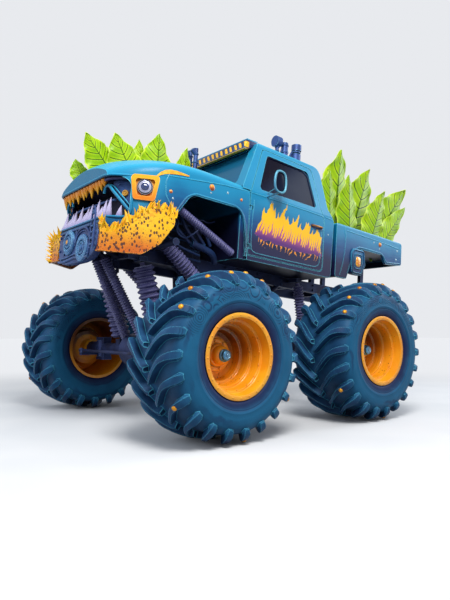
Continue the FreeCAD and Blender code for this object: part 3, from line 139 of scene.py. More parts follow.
class Finish:
    """A material as it is mixed: one Principled shader, and the nodes that vary it over the surface."""

    def __init__(self, name, **constants):
        self.material = bpy.data.materials.new(name)
        self.material.use_nodes = True
        self.tree = self.material.node_tree
        self.shader = self.tree.nodes["Principled BSDF"]
        self.place = self.node("ShaderNodeTexCoord").outputs["Object"]
        for socket, number in constants.items():
            self.shader.inputs[socket.replace("_", " ").title().replace("Ior", "IOR")].default_value = number

    def node(self, kind, settings=None, sockets=None):
        """Any node: its settings are set first, then its sockets get values or links."""
        node = self.tree.nodes.new(kind)
        for setting, choice in (settings or {}).items():
            setattr(node, setting, choice)
        for key, content in (sockets or {}).items():
            self.plug(node.inputs[key], content)
        return node

    def plug(self, socket, content):
        if isinstance(content, Value):
            content = content.socket
        if isinstance(content, bpy.types.NodeSocket):
            self.tree.links.new(content, socket)
        elif isinstance(content, tuple) and len(content) == 3 and socket.type == "RGBA":
            socket.default_value = (*content, 1.0)
        else:
            socket.default_value = content

    def math(self, operation, *numbers):
        node = self.node("ShaderNodeMath", {"operation": operation}, dict(enumerate(numbers)))
        return Value(self, node.outputs[0])

    def vector_math(self, operation, *vectors):
        return self.node("ShaderNodeVectorMath", {"operation": operation}, dict(enumerate(vectors)))

    def about(self, centre, turn=(0.0, 0.0, 0.0)):
        """Place measured from a centre."""
        moved = self.vector_math("SUBTRACT", self.place, tuple(centre)).outputs[0]
        return self.node("ShaderNodeMapping", {}, {"Vector": moved, "Rotation": turn}).outputs[0]

    def stretched(self, x, y, z):
        return self.vector_math("MULTIPLY", self.place, (x, y, z)).outputs[0]

    def parts(self, vector=None):
        node = self.node("ShaderNodeSeparateXYZ", {}, {0: vector or self.place})
        return [Value(self, output) for output in node.outputs]

    def noise(self, scale, detail=3.0, vector=None, roughness=0.5):
        node = self.node(
            "ShaderNodeTexNoise",
            {},
            {"Vector": vector or self.place, "Scale": scale, "Detail": detail, "Roughness": roughness},
        )
        return Value(self, node.outputs["Fac"])

    def cells(self, scale, feature="F1", vector=None, randomness=1.0):
        node = self.node(
            "ShaderNodeTexVoronoi",
            {"feature": feature},
            {"Vector": vector or self.place, "Scale": scale, "Randomness": randomness},
        )
        return Value(self, node.outputs["Distance"])

    def edge(self, radius):
        """1 along the sharp edges of a piece, 0 on its flats, where paint wears and light catches."""
        rounded = self.node("ShaderNodeBevel", {"samples": 4}, {"Radius": radius}).outputs[0]
        flat = self.node("ShaderNodeNewGeometry").outputs["Normal"]
        facing = Value(self, self.vector_math("DOT_PRODUCT", rounded, flat).outputs["Value"])
        return (1 - facing).rise(0.02, 0.22)

    def crevice(self, reach):
        """1 deep in corners and under other pieces, 0 in the open."""
        node = self.node("ShaderNodeAmbientOcclusion", {"samples": 6}, {"Distance": reach})
        return 1 - Value(self, node.outputs["AO"])

    def upward(self):
        """1 on faces that look up, -1 on those that look down."""
        flat = self.node("ShaderNodeNewGeometry").outputs["Normal"]
        return self.parts(flat)[2]

    def mix(self, share, first, second):
        node = self.node("ShaderNodeMix", {"data_type": "RGBA"}, {0: share, 6: first, 7: second})
        return node.outputs[2]

    def finished(self, colour, roughness=None, height=None, depth=0.002, metallic=None):
        """Plug the varying colour, roughness and relief (height 0 to 1, depth in metres) into the shader."""
        self.plug(self.shader.inputs["Base Color"], colour)
        if roughness is not None:
            self.plug(self.shader.inputs["Roughness"], roughness)
        if metallic is not None:
            self.plug(self.shader.inputs["Metallic"], metallic)
        if height is not None:
            bump = self.node("ShaderNodeBump", {}, {"Strength": 1.0, "Distance": depth, "Height": height})
            self.plug(self.shader.inputs["Normal"], bump.outputs[0])
        return self.material


# The floor is pale where it is seen, and greyer for the light that it throws back on the truck.  Far
# off it fades into the backdrop, for the rays that see it only.
BACKDROP = srgb(232, 234, 238)
FADE_START = 3.5
FADE_END = 9.0
floor_finish = Finish("pale floor", roughness=0.9, specular_ior_level=0.1, emission_strength=1.0)
cloud = floor_finish.noise(0.7, 2.0).rise(0.3, 0.7)
seen = floor_finish.mix(cloud, BACKDROP, srgb(224, 227, 232))
path = floor_finish.node("ShaderNodeLightPath")
looked_at = Value(floor_finish, path.outputs["Is Camera Ray"]).math("MAXIMUM", path.outputs["Is Glossy Ray"])
looked_at = looked_at.math("MAXIMUM", path.outputs["Is Transmission Ray"])
floor_x, floor_y, _ = floor_finish.parts()
far = ((floor_x * floor_x + floor_y * floor_y) ** 0.5).rise(FADE_START, FADE_END) * looked_at
near_tint = floor_finish.mix(looked_at, srgb(120, 122, 128), seen)
floor_finish.finished(floor_finish.mix(far, near_tint, (0.0, 0.0, 0.0)))
backdrop = floor_finish.mix(far, (0.0, 0.0, 0.0), BACKDROP)
floor_finish.plug(floor_finish.shader.inputs["Emission Color"], backdrop)
bpy.ops.object.select_all(action="DESELECT")
bpy.ops.mesh.primitive_plane_add(size=120.0, location=(MIDDLE_X, 0.0, 0.0))
floor = bpy.context.object
floor.name = "floor"
floor.data.materials.append(floor_finish.material)

SKY_TINT = (0.93, 0.96, 1.0, 1.0)
SKY_STRENGTH = 0.50
world = bpy.data.worlds.new("studio")
bpy.context.scene.world = world
world.use_nodes = True
sky = world.node_tree
sky.nodes.clear()
sky_out = sky.nodes.new("ShaderNodeOutputWorld")
sky_soft = sky.nodes.new("ShaderNodeBackground")
sky_soft.inputs[0].default_value = SKY_TINT
sky_soft.inputs[1].default_value = SKY_STRENGTH
sky_seen = sky.nodes.new("ShaderNodeBackground")
sky_seen.inputs[0].default_value = (*BACKDROP, 1.0)
sky_seen.inputs[1].default_value = 1.0
sky_path = sky.nodes.new("ShaderNodeLightPath")
sky_mix = sky.nodes.new("ShaderNodeMixShader")
sky_any = sky.nodes.new("ShaderNodeMath")
sky_any.operation = "MAXIMUM"
sky_shown = sky.nodes.new("ShaderNodeMath")
sky_shown.operation = "MAXIMUM"
sky.links.new(sky_path.outputs["Is Camera Ray"], sky_any.inputs[0])
sky.links.new(sky_path.outputs["Is Transmission Ray"], sky_any.inputs[1])
sky.links.new(sky_any.outputs[0], sky_shown.inputs[0])
sky.links.new(sky_path.outputs["Is Glossy Ray"], sky_shown.inputs[1])
sky.links.new(sky_shown.outputs[0], sky_mix.inputs[0])
sky.links.new(sky_soft.outputs[0], sky_mix.inputs[1])
sky.links.new(sky_seen.outputs[0], sky_mix.inputs[2])
sky.links.new(sky_mix.outputs[0], sky_out.inputs[0])

# lamps: name, place from the axles' middle, size, watts, colour
LAMPS = [
    ("key", (3.0, 5.5, 7.5), 3.0, 640.0, (1.0, 0.98, 0.94)),
    ("fill", (7.0, -2.0, 3.5), 5.0, 150.0, (0.85, 0.93, 1.0)),
    ("back", (-7.0, 3.0, 5.0), 4.0, 220.0, (0.9, 0.95, 1.0)),
]
AIM_HEIGHT = 1.4
for name, place, size, watts, tint in LAMPS:
    lamp_data = bpy.data.lights.new(name, "AREA")
    lamp_data.size = size
    lamp_data.energy = watts
    lamp_data.color = tint
    lamp = new_object(name, lamp_data)
    lamp.location = Vector((MIDDLE_X, 0.0, 0.0)) + Vector(place)
    aim = Vector((MIDDLE_X, 0.0, AIM_HEIGHT)) - lamp.location
    lamp.rotation_euler = aim.to_track_quat("-Z", "Y").to_euler()

# ---- frame, cradle and tow points ----------------------------------------------------------------
# Welded box rails leaning nose-up with the body, spring towers, and a lower cradle of steel tube.
# All of it is painted a blue-black, lightened to a cooler blue along its edges by a painted highlight in
# worn-looking patches, with painted shade in its corners.
RAKE = math.radians(5.0)
RAKE_PIVOT_Z = 2.0


def on_body(x, y, z):
    """A place given on the level body, in metres from the axles' middle, moved to where the rake puts it."""
    up = z - RAKE_PIVOT_Z
    return Vector(
        (
            MIDDLE_X + x * math.cos(RAKE) - up * math.sin(RAKE),
            y,
            RAKE_PIVOT_Z + x * math.sin(RAKE) + up * math.cos(RAKE),
        )
    )


def dress(node_names, material):
    """Give solids that keep their own mesh their material."""
    for name in node_names:
        node = nodes[name]
        node.data.materials.clear()
        node.data.materials.append(material)


def steel_finish(name, dark, light, edge_light, roughness=0.45, metallic=0.55):
    """Painted or raw steel: cloudy colour, a painted highlight along the edges in worn-looking patches,
    painted shade in the corners and a fine cast grain.
    """
    dark, light, edge_light = srgb(*dark), srgb(*light), srgb(*edge_light)
    finish = Finish(name, metallic=metallic)
    cloud = finish.noise(4.0, 4.0).rise(0.35, 0.65)
    grain = finish.noise(60.0, 3.0)
    # Painted light: edges get a lighter painted highlight, patchy like worn paint, and corners get painted
    # shade.
    edge_highlight_and_wear = finish.edge(0.006) * finish.noise(9.0, 2.0).rise(0.25, 0.5)
    crevice_shade = finish.crevice(0.08).rise(0.3, 0.9)
    tint = finish.mix(cloud, dark, light)
    tint = finish.mix(crevice_shade * 0.7, tint, srgb(10, 11, 26))
    tint = finish.mix(edge_highlight_and_wear, tint, edge_light)
    rough = finish.noise(18.0, 3.0) * 0.25 + roughness - edge_highlight_and_wear * 0.2
    return finish.finished(tint, rough, grain * 0.4 + cloud * 0.2, 0.0015)


chassis_paint = steel_finish("frame paint", (22, 28, 58), (34, 48, 88), (92, 128, 176))
dress(["frame", "cradle", "tow_points"], chassis_paint)


def pick(piece):
    """Make one object the only selected and active one."""
    bpy.ops.object.select_all(action="DESELECT")
    piece.select_set(True)
    bpy.context.view_layer.objects.active = piece
    return piece


def named(name):
    """The primitive that was just added, under its own name."""
    piece = bpy.context.object
    piece.name = name
    piece.data.name = name
    return pick(piece)


SAME_PLACE = 0.00005


def outward(piece, merge=False):
    """Turn every face of a piece outward; with merge, points that coincide become one first."""
    pick(piece)
    bpy.ops.object.mode_set(mode="EDIT")
    bpy.ops.mesh.select_all(action="SELECT")
    if merge:
        bpy.ops.mesh.remove_doubles(threshold=SAME_PLACE)
    bpy.ops.mesh.normals_make_consistent(inside=False)
    bpy.ops.object.mode_set(mode="OBJECT")
    return piece


def settle(piece):
    """Move the object's place, turn and scale into its mesh."""
    pick(piece)
    bpy.ops.object.transform_apply(location=True, rotation=True, scale=True)
    return piece


SMOOTH_ANGLE = math.radians(38)


def fit(piece, body, material):
    """Hand a finished piece over: smooth it, paint it, and let it ride on its body."""
    settle(piece)
    bpy.ops.object.shade_smooth_by_angle(angle=SMOOTH_ANGLE)
    piece.data.materials.clear()
    piece.data.materials.append(material)
    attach(piece, body)
    return piece


def together(name, pieces):
    """Join like pieces into one object."""
    bpy.ops.object.select_all(action="DESELECT")
    for piece in pieces:
        piece.select_set(True)
    bpy.context.view_layer.objects.active = pieces[0]
    bpy.ops.object.join()
    return named(name)


def twin(piece, matrix):
    """A copy with its own mesh, moved by a matrix; a mirrored copy is turned right side out again."""
    copy = piece.copy()
    copy.data = piece.data.copy()
    bpy.context.scene.collection.objects.link(copy)
    copy.data.transform(matrix)
    if matrix.determinant() < 0:
        copy.data.flip_normals()
    return copy


MIRROR = Matrix.Diagonal((1.0, -1.0, 1.0, 1.0))


def turned(name, profile, steps=48, closed=False):
    """Lathe work about +Z: a pen line of (radius, height) drawn as edges, then spun into a skin."""
    bpy.ops.object.select_all(action="DESELECT")
    bpy.ops.mesh.primitive_plane_add(size=0.01, location=(0.0, 0.0, 0.0))
    piece = named(name)
    bpy.ops.object.mode_set(mode="EDIT")
    bpy.ops.mesh.select_mode(type="VERT")
    bpy.ops.mesh.select_all(action="SELECT")
    bpy.ops.mesh.merge(type="CENTER")
    last = Vector((0.0, 0.0, 0.0))
    points = list(profile) + ([profile[0]] if closed else [])
    for i, (radius, height) in enumerate(points):
        here = Vector((radius, 0.0, height))
        if i == 0:
            bpy.ops.transform.translate(value=here - last)
        else:
            bpy.ops.mesh.extrude_region_move(TRANSFORM_OT_translate={"value": here - last})
        last = here
    bpy.ops.mesh.select_all(action="SELECT")
    bpy.ops.mesh.spin(steps=steps, angle=2 * math.pi, center=(0, 0, 0), axis=(0, 0, 1))
    bpy.ops.object.mode_set(mode="OBJECT")
    return outward(piece, merge=True)


def stand(piece, foot, along):
    """Move a piece made about +Z so that it starts at foot and points along."""
    turn = Vector(along).normalized().to_track_quat("Z", "Y").to_matrix().to_4x4()
    piece.data.transform(Matrix.Translation(foot) @ turn)
    return piece


def tube(name, points, radius, sides=3, closed=False):
    """Bent tube through points, smoothed as a curve and then turned into a mesh."""
    bpy.ops.object.select_all(action="DESELECT")
    bpy.ops.curve.primitive_nurbs_path_add()
    pipe = bpy.context.object
    pipe.name = name
    pipe.data.splines.clear()
    spline = pipe.data.splines.new("NURBS")
    spline.points.add(len(points) - 1)
    for knot, place in zip(spline.points, points):
        knot.co = (*place, 1.0)
    spline.order_u = 3
    spline.use_endpoint_u = not closed
    spline.use_cyclic_u = closed
    pipe.data.resolution_u = 6
    pipe.data.bevel_depth = radius
    pipe.data.bevel_resolution = sides
    pipe.data.use_fill_caps = True
    pipe.location = (0.0, 0.0, 0.0)
    bpy.ops.object.convert(target="MESH")
    return outward(named(name), merge=True)


def body_tube(name, places, radius, sides=3, closed=False):
    """Bent tube through places given on the level body."""
    return tube(name, [on_body(*place) for place in places], radius, sides, closed)


def bolt(name, across, height):
    """Hexagon head with a chamfer, about +Z, foot at the origin."""
    bpy.ops.object.select_all(action="DESELECT")
    bpy.ops.mesh.primitive_cylinder_add(
        vertices=6, radius=across / 2, depth=height, location=(0, 0, height / 2)
    )
    head = named(name)
    bpy.ops.object.mode_set(mode="EDIT")
    bpy.ops.mesh.select_all(action="SELECT")
    bpy.ops.mesh.bevel(offset=height * 0.18, segments=1, affect="EDGES")
    bpy.ops.object.mode_set(mode="OBJECT")
    return settle(head)


RAIL_SIDE = 0.44
RAIL_TOP = 1.91
frame_bolts = []
one_bolt = bolt("frame_bolts", 0.034, 0.018)
for side in (1, -1):
    for x in (-2.6, -2.3, -1.95, -1.55, -0.9, -0.45, 0.1, 0.55, 1.0, 1.3):
        for drop in (0.035, 0.105):
            foot = on_body(x, side * RAIL_SIDE, RAIL_TOP - drop)
            turn = Matrix.Rotation(-side * math.pi / 2, 4, "X")
            frame_bolts.append(twin(one_bolt, Matrix.Translation(foot) @ turn))
bpy.data.objects.remove(one_bolt)
fit(together("frame_bolts", frame_bolts), "chassis", chassis_paint)

# ---- engine and driveline ------------------------------------------------------------------------
# Cast-iron block and transfer case, with the propeller shafts that run to the two axles.
iron = steel_finish("cast iron", (36, 38, 56), (52, 58, 84), (120, 140, 180), 0.5, 0.7)
dress(["engine", "driveline"], iron)

# ---- axles, knuckles, steering and links ---------------------------------------------------------
# Heavy cast housings and forged yokes, blue-black, with bright bolts round the differential covers.
axle_steel = steel_finish("axle steel", (26, 30, 60), (44, 56, 100), (110, 140, 190), 0.42, 0.6)
dress(["axle_front", "axle_rear", "suspension_links", "knuckle_left", "knuckle_right", "tie_rod"], axle_steel)

# ---- springs and struts --------------------------------------------------------------------------
# Legs under ribbed rubber sleeves.  The rubber is violet-grey, with a paler painted highlight on the crest of
# each fold and painted shade in the hollows between them, and each sleeve is closed flat at both ends.
bellows_finish = Finish("ribbed rubber", specular_ior_level=0.3)
crest_highlight = bellows_finish.edge(0.012)
hollow_shade = bellows_finish.crevice(0.06).rise(0.25, 0.8)
sleeve_cloud = bellows_finish.noise(6.0, 3.0)
sleeve_tint = bellows_finish.mix(sleeve_cloud.rise(0.3, 0.7), srgb(62, 62, 108), srgb(86, 86, 138))
# Painted shade in the hollows of the folds, then a painted highlight on their crests.
sleeve_tint = bellows_finish.mix(hollow_shade, sleeve_tint, srgb(18, 16, 42))
sleeve_tint = bellows_finish.mix(crest_highlight * 0.9, sleeve_tint, srgb(190, 192, 232))
bellows_rubber = bellows_finish.finished(
    sleeve_tint, sleeve_cloud * 0.2 + 0.4, bellows_finish.noise(45.0, 4.0) * 0.5, 0.002
)


def sleeve(name, start, finish, radius):
    """Ribbed sleeve: rounded folds, each a crest between two necks, closed flat at both ends."""
    length = (finish - start).length
    folds = round(length / max(radius * 0.5, 0.030))
    step = length / folds
    profile = [(0.0, 0.0), (radius * 0.82, 0.0)]
    for i in range(folds):
        for share, reach in ((0.0, 0.76), (0.14, 0.80), (0.34, 0.97), (0.5, 1.0), (0.66, 0.97), (0.86, 0.80)):
            profile.append((radius * (reach - 0.005), (i + share) * step))
    profile += [(radius * 0.82, length), (0.0, length)]
    return stand(turned(name, profile, 32), start, finish - start)


# coil springs: foot x, y, head x, head z, radius; x is measured from the axles' middle
SPRING_FOOT_Z = 0.95
SPRINGS = [
    (1.110, 0.450, 1.345, 1.880, 0.125),
    (-1.150, 0.600, -1.030, 1.760, 0.075),
]
SPRING_BARE = 0.065
POLE_RADIUS = 0.029
POLE_INSET = 0.02
legs = []
for foot_x, y, head_x, head_z, radius in SPRINGS:
    foot = Vector((MIDDLE_X + foot_x, y, SPRING_FOOT_Z))
    head = Vector((MIDDLE_X + head_x, y, head_z))
    along = (head - foot).normalized()
    leg = sleeve("leg", foot + along * SPRING_BARE, head - along * SPRING_BARE, radius)
    top = (head - foot).length - POLE_INSET
    pole = turned("pole", [(0.0, POLE_INSET), (POLE_RADIUS, POLE_INSET), (POLE_RADIUS, top), (0.0, top)], 20)
    stand(pole, foot, along)
    legs += [leg, pole, twin(leg, MIRROR), twin(pole, MIRROR)]
springs = together("spring_sleeves", legs)
fit(springs, "chassis", bellows_rubber)
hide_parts("coilovers")

# slanting struts: head x, y, z, foot x, y, z, radius
STRUTS = [
    (1.150, 0.880, 2.445, 0.345, 0.880, 1.985, 0.048),
    (1.130, 0.590, 2.090, 0.345, 0.590, 1.385, 0.090),
    (1.660, 0.100, 1.950, 1.130, 0.215, 0.880, 0.062),
]
STRUT_BARE = 0.03
legs = []
for head_x, head_y, head_z, foot_x, foot_y, foot_z, radius in STRUTS:
    head = Vector((MIDDLE_X + head_x, head_y, head_z))
    foot = Vector((MIDDLE_X + foot_x, foot_y, foot_z))
    along = (foot - head).normalized()
    leg = sleeve("leg", head + along * STRUT_BARE, foot - along * STRUT_BARE, radius)
    legs += [leg, twin(leg, MIRROR)]
struts = together("strut_sleeves", legs)
fit(struts, "chassis", bellows_rubber)
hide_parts("bellows_struts")

# Two arms of tube reach forward from the frame's front cross member, above the heads of the foremost
# struts.  They end clear of the sleeves, and the bolt head beside each arm stands clear of it.
arms = []
for side in (1, -1):
    arms.append(
        body_tube(
            "arm",
            [
                (1.430, side * 0.10, 1.830), (1.540, side * 0.10, 1.835), (1.610, side * 0.10, 1.865),
                (1.655, side * 0.10, 1.935)
            ],
            0.026, 4
        )
    )
    arms.append(stand(bolt("pin", 0.050, 0.020), on_body(1.645, side * 0.158, 1.92), (0, side, 0)))
fit(together("strut_arms", arms), "chassis", iron)

# ---- wheels: tyres -------------------------------------------------------------------------------
# High-flotation tyres: a rounded casing with two staggered rows of bar lugs, each slanting out from the
# middle of the tread and then bending square to the side wall.  Steel-blue rubber, lit along its edges.
BEAD_OUT = 0.386
LUG_COUNT = 22
WHEELS = {
    "front_left": ("spin_front_left", 1),
    "front_right": ("spin_front_right", -1),
    "rear_left": ("spin_rear_left", 1),
    "rear_right": ("spin_rear_right", -1),
}


def tyre_finish(name, hub):
    """Rubber: pale painted highlights along edges, painted shade in the hollows, rings round the side wall
    and faint swirled scuffs.
    """
    finish = Finish(name, specular_ior_level=0.16)
    across, aside, up = finish.parts(finish.about(hub))
    radius = (across * across + up * up) ** 0.5
    swirl = finish.noise(3.2, 3.0)
    rings = ((radius * 34 + swirl * 9).sine() * 0.5 + 0.5).rise(0.72, 1.0)
    on_wall = aside.size().rise(0.385, 0.42) * radius.rise(0.80, 0.72)
    scuffs = rings * on_wall * finish.noise(1.6, 2.0).rise(0.5, 0.62)
    ring_lines = (radius * 78).sine().rise(0.86, 1.0) * on_wall * radius.rise(0.56, 0.5)
    curl = (finish.cells(5.0) * 62).sine().rise(0.35, 0.8) * on_wall * (up + swirl * 0.3).rise(0.28, 0.42)
    curl = curl * radius.rise(0.53, 0.58)
    near_rim = radius.rise(0.53, 0.43)
    edge_highlight_and_wear = finish.edge(0.014) * finish.noise(7.0, 3.0).rise(0.2, 0.42)
    hollow_shade = finish.crevice(0.14).rise(0.3, 0.95)
    cloud = finish.noise(5.0, 4.0)
    tint = finish.mix(cloud.rise(0.3, 0.7), srgb(26, 58, 98), srgb(38, 88, 130))
    tint = finish.mix(radius.rise(0.80, 0.62) * radius.rise(0.46, 0.56) * 0.6, tint, srgb(26, 108, 148))
    tint = finish.mix(near_rim * 0.85, tint, srgb(26, 30, 70))
    # Painted shade in the hollows between lugs.
    tint = finish.mix(hollow_shade * 0.95, tint, srgb(20, 18, 48))
    tint = finish.mix(scuffs * 0.55, tint, srgb(22, 46, 88))
    tint = finish.mix(ring_lines * 0.5, tint, srgb(24, 40, 82))
    tint = finish.mix(curl * 0.7, tint, srgb(18, 44, 86))
    # Painted highlight along the edges, patchy like wear.
    tint = finish.mix(edge_highlight_and_wear * 0.9, tint, srgb(84, 176, 206))
    grain = finish.noise(70.0, 3.0)
    height = grain * 0.35 + cloud * 0.4 - scuffs * 0.5 - ring_lines * 0.6 - curl * 0.9
    return finish.finished(tint, finish.noise(20.0, 3.0) * 0.22 + 0.4 - edge_highlight_and_wear * 0.08, height, 0.003)


# casing profile from the middle of the tread to the bead: distance out, radius
CASING = [
    (0.000, 0.756),
    (0.160, 0.754),
    (0.270, 0.747),
    (0.345, 0.728),
    (0.392, 0.697),
    (0.414, 0.664),
    (0.424, 0.625),
    (0.4265, 0.580),
    (0.4240, 0.545),
    (0.4265, 0.538),
    (0.4265, 0.528),
    (0.4215, 0.520),
    (0.417, 0.486),
    (0.410, 0.462),
    (0.4095, 0.446),
    (0.400, 0.434),
    (0.392, 0.424),
    (BEAD_OUT, 0.418),
    (0.383, 0.3975),
]
# lug path from the middle of the tread: distance out, radius of the crown, turn back in pitches, half width
LUG_PATH = [
    (0.018, 0.822, 0.00, 0.022),
    (0.050, 0.836, 0.10, 0.024),
    (0.110, 0.838, 0.36, 0.025),
    (0.170, 0.837, 0.62, 0.026),
    (0.215, 0.835, 0.80, 0.028),
    (0.255, 0.832, 0.93, 0.031),
    (0.300, 0.824, 1.03, 0.034),
    (0.345, 0.808, 1.10, 0.037),
    (0.385, 0.782, 1.15, 0.040),
    (0.412, 0.748, 1.18, 0.040),
    (0.4255, 0.712, 1.20, 0.034),
    (0.4275, 0.684, 1.21, 0.022),
]
LUG_DEEP = 0.095
# section of a lug, from foot to foot over its crown: share of the half width, depth below the crown
LUG_SECTION = [(1.34, LUG_DEEP), (1.06, 0.022), (0.86, 0.004), (0.0, 0.0), (0.86, 0.004), (1.06, 0.022),
               (1.34, LUG_DEEP)]
SHOULDER = 0.40
SHOULDER_LEAN = 0.55


def lug_blank():
    """One bar: a long cube cut into slices, each slice set on the path, flanks drafted, crown rounded."""
    slices = len(LUG_PATH)
    bpy.ops.object.select_all(action="DESELECT")
    bpy.ops.mesh.primitive_grid_add(x_subdivisions=slices - 1, y_subdivisions=6, size=2.0)
    bar = named("lug")
    for corner in bar.data.vertices:
        out, crown, back, half = LUG_PATH[round((corner.co.x + 1) / 2 * (slices - 1))]
        over = corner.co.y  # -1 and 1 are the feet, the middle is the crown
        spread, sink = LUG_SECTION[round((over + 1) * 3)]
        offset = math.copysign(spread, over) * half if abs(over) > 0.01 else 0.0
        angle = back * 2 * math.pi / LUG_COUNT + offset / crown
        if out > SHOULDER:
            lean = min(1.0, (out - SHOULDER) / 0.02)
            out_here = out - sink * SHOULDER_LEAN * lean
            radius = crown - sink * (1 - SHOULDER_LEAN * lean)
        else:
            out_here, radius = out, crown - sink
        corner.co = Vector((radius * math.cos(angle), out_here, radius * math.sin(angle)))
    bpy.ops.object.mode_set(mode="EDIT")
    bpy.ops.mesh.select_mode(type="EDGE")
    bpy.ops.mesh.select_all(action="SELECT")
    bpy.ops.mesh.region_to_loop()
    bpy.ops.mesh.extrude_region_move(TRANSFORM_OT_translate={"value": (0, 0, 0)})
    bpy.ops.transform.resize(value=(0.93, 0.97, 0.93), center_override=(0.70, 0.20, 0.12))
    bpy.ops.mesh.edge_face_add()
    bpy.ops.mesh.select_all(action="SELECT")
    bpy.ops.mesh.quads_convert_to_tris()
    bpy.ops.mesh.normals_make_consistent(inside=False)
    bpy.ops.object.mode_set(mode="OBJECT")
    return bar


casing_profile = [(radius, out) for out, radius in CASING]
casing_profile = [(radius, -out) for radius, out in reversed(casing_profile[1:])] + casing_profile
casing = turned("casing", casing_profile, 96, closed=True)
casing.data.transform(Matrix.Rotation(-math.pi / 2, 4, "X"))
first_lug = lug_blank()
lugs = []
for i in range(LUG_COUNT):
    pitch = 2 * math.pi / LUG_COUNT
    lugs.append(twin(first_lug, Matrix.Rotation(-i * pitch, 4, "Y")))
    lugs.append(twin(first_lug, Matrix.Rotation(-(i + 0.5) * pitch, 4, "Y") @ MIRROR))
bpy.data.objects.remove(first_lug)
tyre = together("tyre", [casing] + lugs)

rubber = {
    end: tyre_finish("tyre rubber " + end, pivots["spin_" + end + "_left"])
    for end in ("front", "rear")
}
for place, (joint, side) in WHEELS.items():
    hub = Matrix.Translation(pivots[joint])
    cover = twin(tyre, hub if side > 0 else hub @ MIRROR)
    cover.name = cover.data.name = "tread_" + place
    fit(cover, "wheel_" + place, rubber[place.split("_")[0]])
    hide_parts("tyre_" + place)
bpy.data.objects.remove(tyre)

# ---- wheels: rims --------------------------------------------------------------------------------
# Spun steel dishes, deep and stepped, painted orange-yellow: a flat outer ring, four steps down to the
# hub, a ring of studs, and a domed cap with the blued end of the spindle through it.
rim_profile = [
    (0.398, 0.390), (0.412, 0.392), (0.4145, 0.396), (0.4145, 0.3985), (0.412, 0.400), (0.372, 0.400),
    (0.369, 0.398), (0.368, 0.394), (0.366, 0.380), (0.357, 0.352), (0.353, 0.302), (0.350, 0.299),
    (0.333, 0.298), (0.330, 0.295), (0.327, 0.270), (0.318, 0.190), (0.315, 0.187), (0.296, 0.186),
    (0.293, 0.183), (0.290, 0.160), (0.281, 0.080), (0.278, 0.077), (0.256, 0.076), (0.252, 0.073),
    (0.249, 0.060), (0.240, -0.012), (0.234, -0.018), (0.168, -0.019), (0.166, -0.016), (0.163, 0.022),
    (0.159, 0.029), (0.152, 0.031), (0.126, 0.031), (0.120, 0.028), (0.118, 0.022), (0.114, 0.023),
    (0.112, 0.056), (0.108, 0.061), (0.098, 0.064), (0.097, 0.100), (0.092, 0.112), (0.080, 0.127),
    (0.064, 0.138), (0.047, 0.144), (0.0, 0.146),
]
dish = turned("dish", rim_profile, 96)
barrel = turned(
    "barrel",
    [(0.398, 0.388), (0.3955, 0.384), (0.3955, -0.384), (0.413, -0.386), (0.4145, -0.392), (0.4145, -0.3985),
     (0.380, -0.3985), (0.378, -0.395), (0.376, -0.1), (0.372, 0.24), (0.358, 0.27), (0.352, 0.283)],
    96,
)
hub_back = turned(
    "hub_back",
    [(0.235, -0.030), (0.118, -0.050), (0.116, -0.196), (0.112, -0.200), (0.0615, -0.200), (0.0615, 0.04)],
    48,
)


def ring_of(name, blank, count, radius, height, start=0.0):
    """Copies of a small part set round the hub, feet at one height; the blank goes."""
    around = []
    for i in range(count):
        turn = Matrix.Rotation(start + 2 * math.pi * i / count, 4, "Z")
        around.append(twin(blank, turn @ Matrix.Translation((radius, 0.0, height))))
    bpy.data.objects.remove(blank)
    return together(name, around)


def rivet(name, radius, height):
    """Round dome on a short collar, foot at the origin."""
    profile = [(radius, 0.0), (radius, height * 0.25)]
    for share in (0.25, 0.5, 0.75):
        bend = share * math.pi / 2
        profile.append((radius * 0.92 * math.cos(bend), height * (0.3 + 0.7 * math.sin(bend))))
    profile.append((0.0, height))
    return turned(name, profile, 12)


outer_studs = ring_of("outer_studs", rivet("stud", 0.009, 0.008), 24, 0.391, 0.3995)
step_studs = ring_of("step_studs", rivet("stud", 0.0085, 0.009), 16, 0.323, 0.2965, 0.1)
inner_studs = ring_of("inner_studs", rivet("stud", 0.0085, 0.009), 12, 0.267, 0.0745)
hub_bolts = ring_of("hub_bolts", bolt("stud", 0.026, 0.016), 8, 0.139, 0.0305, 0.2)
floor_bolts = ring_of("floor_bolts", bolt("stud", 0.024, 0.014), 10, 0.205, -0.0185)
axle_nose = turned(
    "axle_nose",
    [(0.062, 0.120), (0.064, 0.152), (0.058, 0.160), (0.054, 0.163), (0.053, 0.186), (0.047, 0.194),
     (0.030, 0.2), (0.026, 0.196), (0.0, 0.195)],
    32,
)
nose_nut = bolt("nut", 0.030, 0.006)
nose_nut.data.transform(Matrix.Translation((0.0, 0.0, 0.1965)))
nose = together("nose", [axle_nose, nose_nut])
valve = tube("valve", [(0.345, 0.0, 0.24), (0.338, 0.0, 0.285), (0.336, 0.0, 0.325)], 0.007, 2)
wheel_disc = together(
    "wheel_disc",
    [dish, barrel, hub_back, outer_studs, step_studs, inner_studs, hub_bolts, floor_bolts, valve]
)
TO_SIDE = Matrix.Rotation(-math.pi / 2, 4, "X")
wheel_disc.data.transform(TO_SIDE)
nose.data.transform(TO_SIDE)


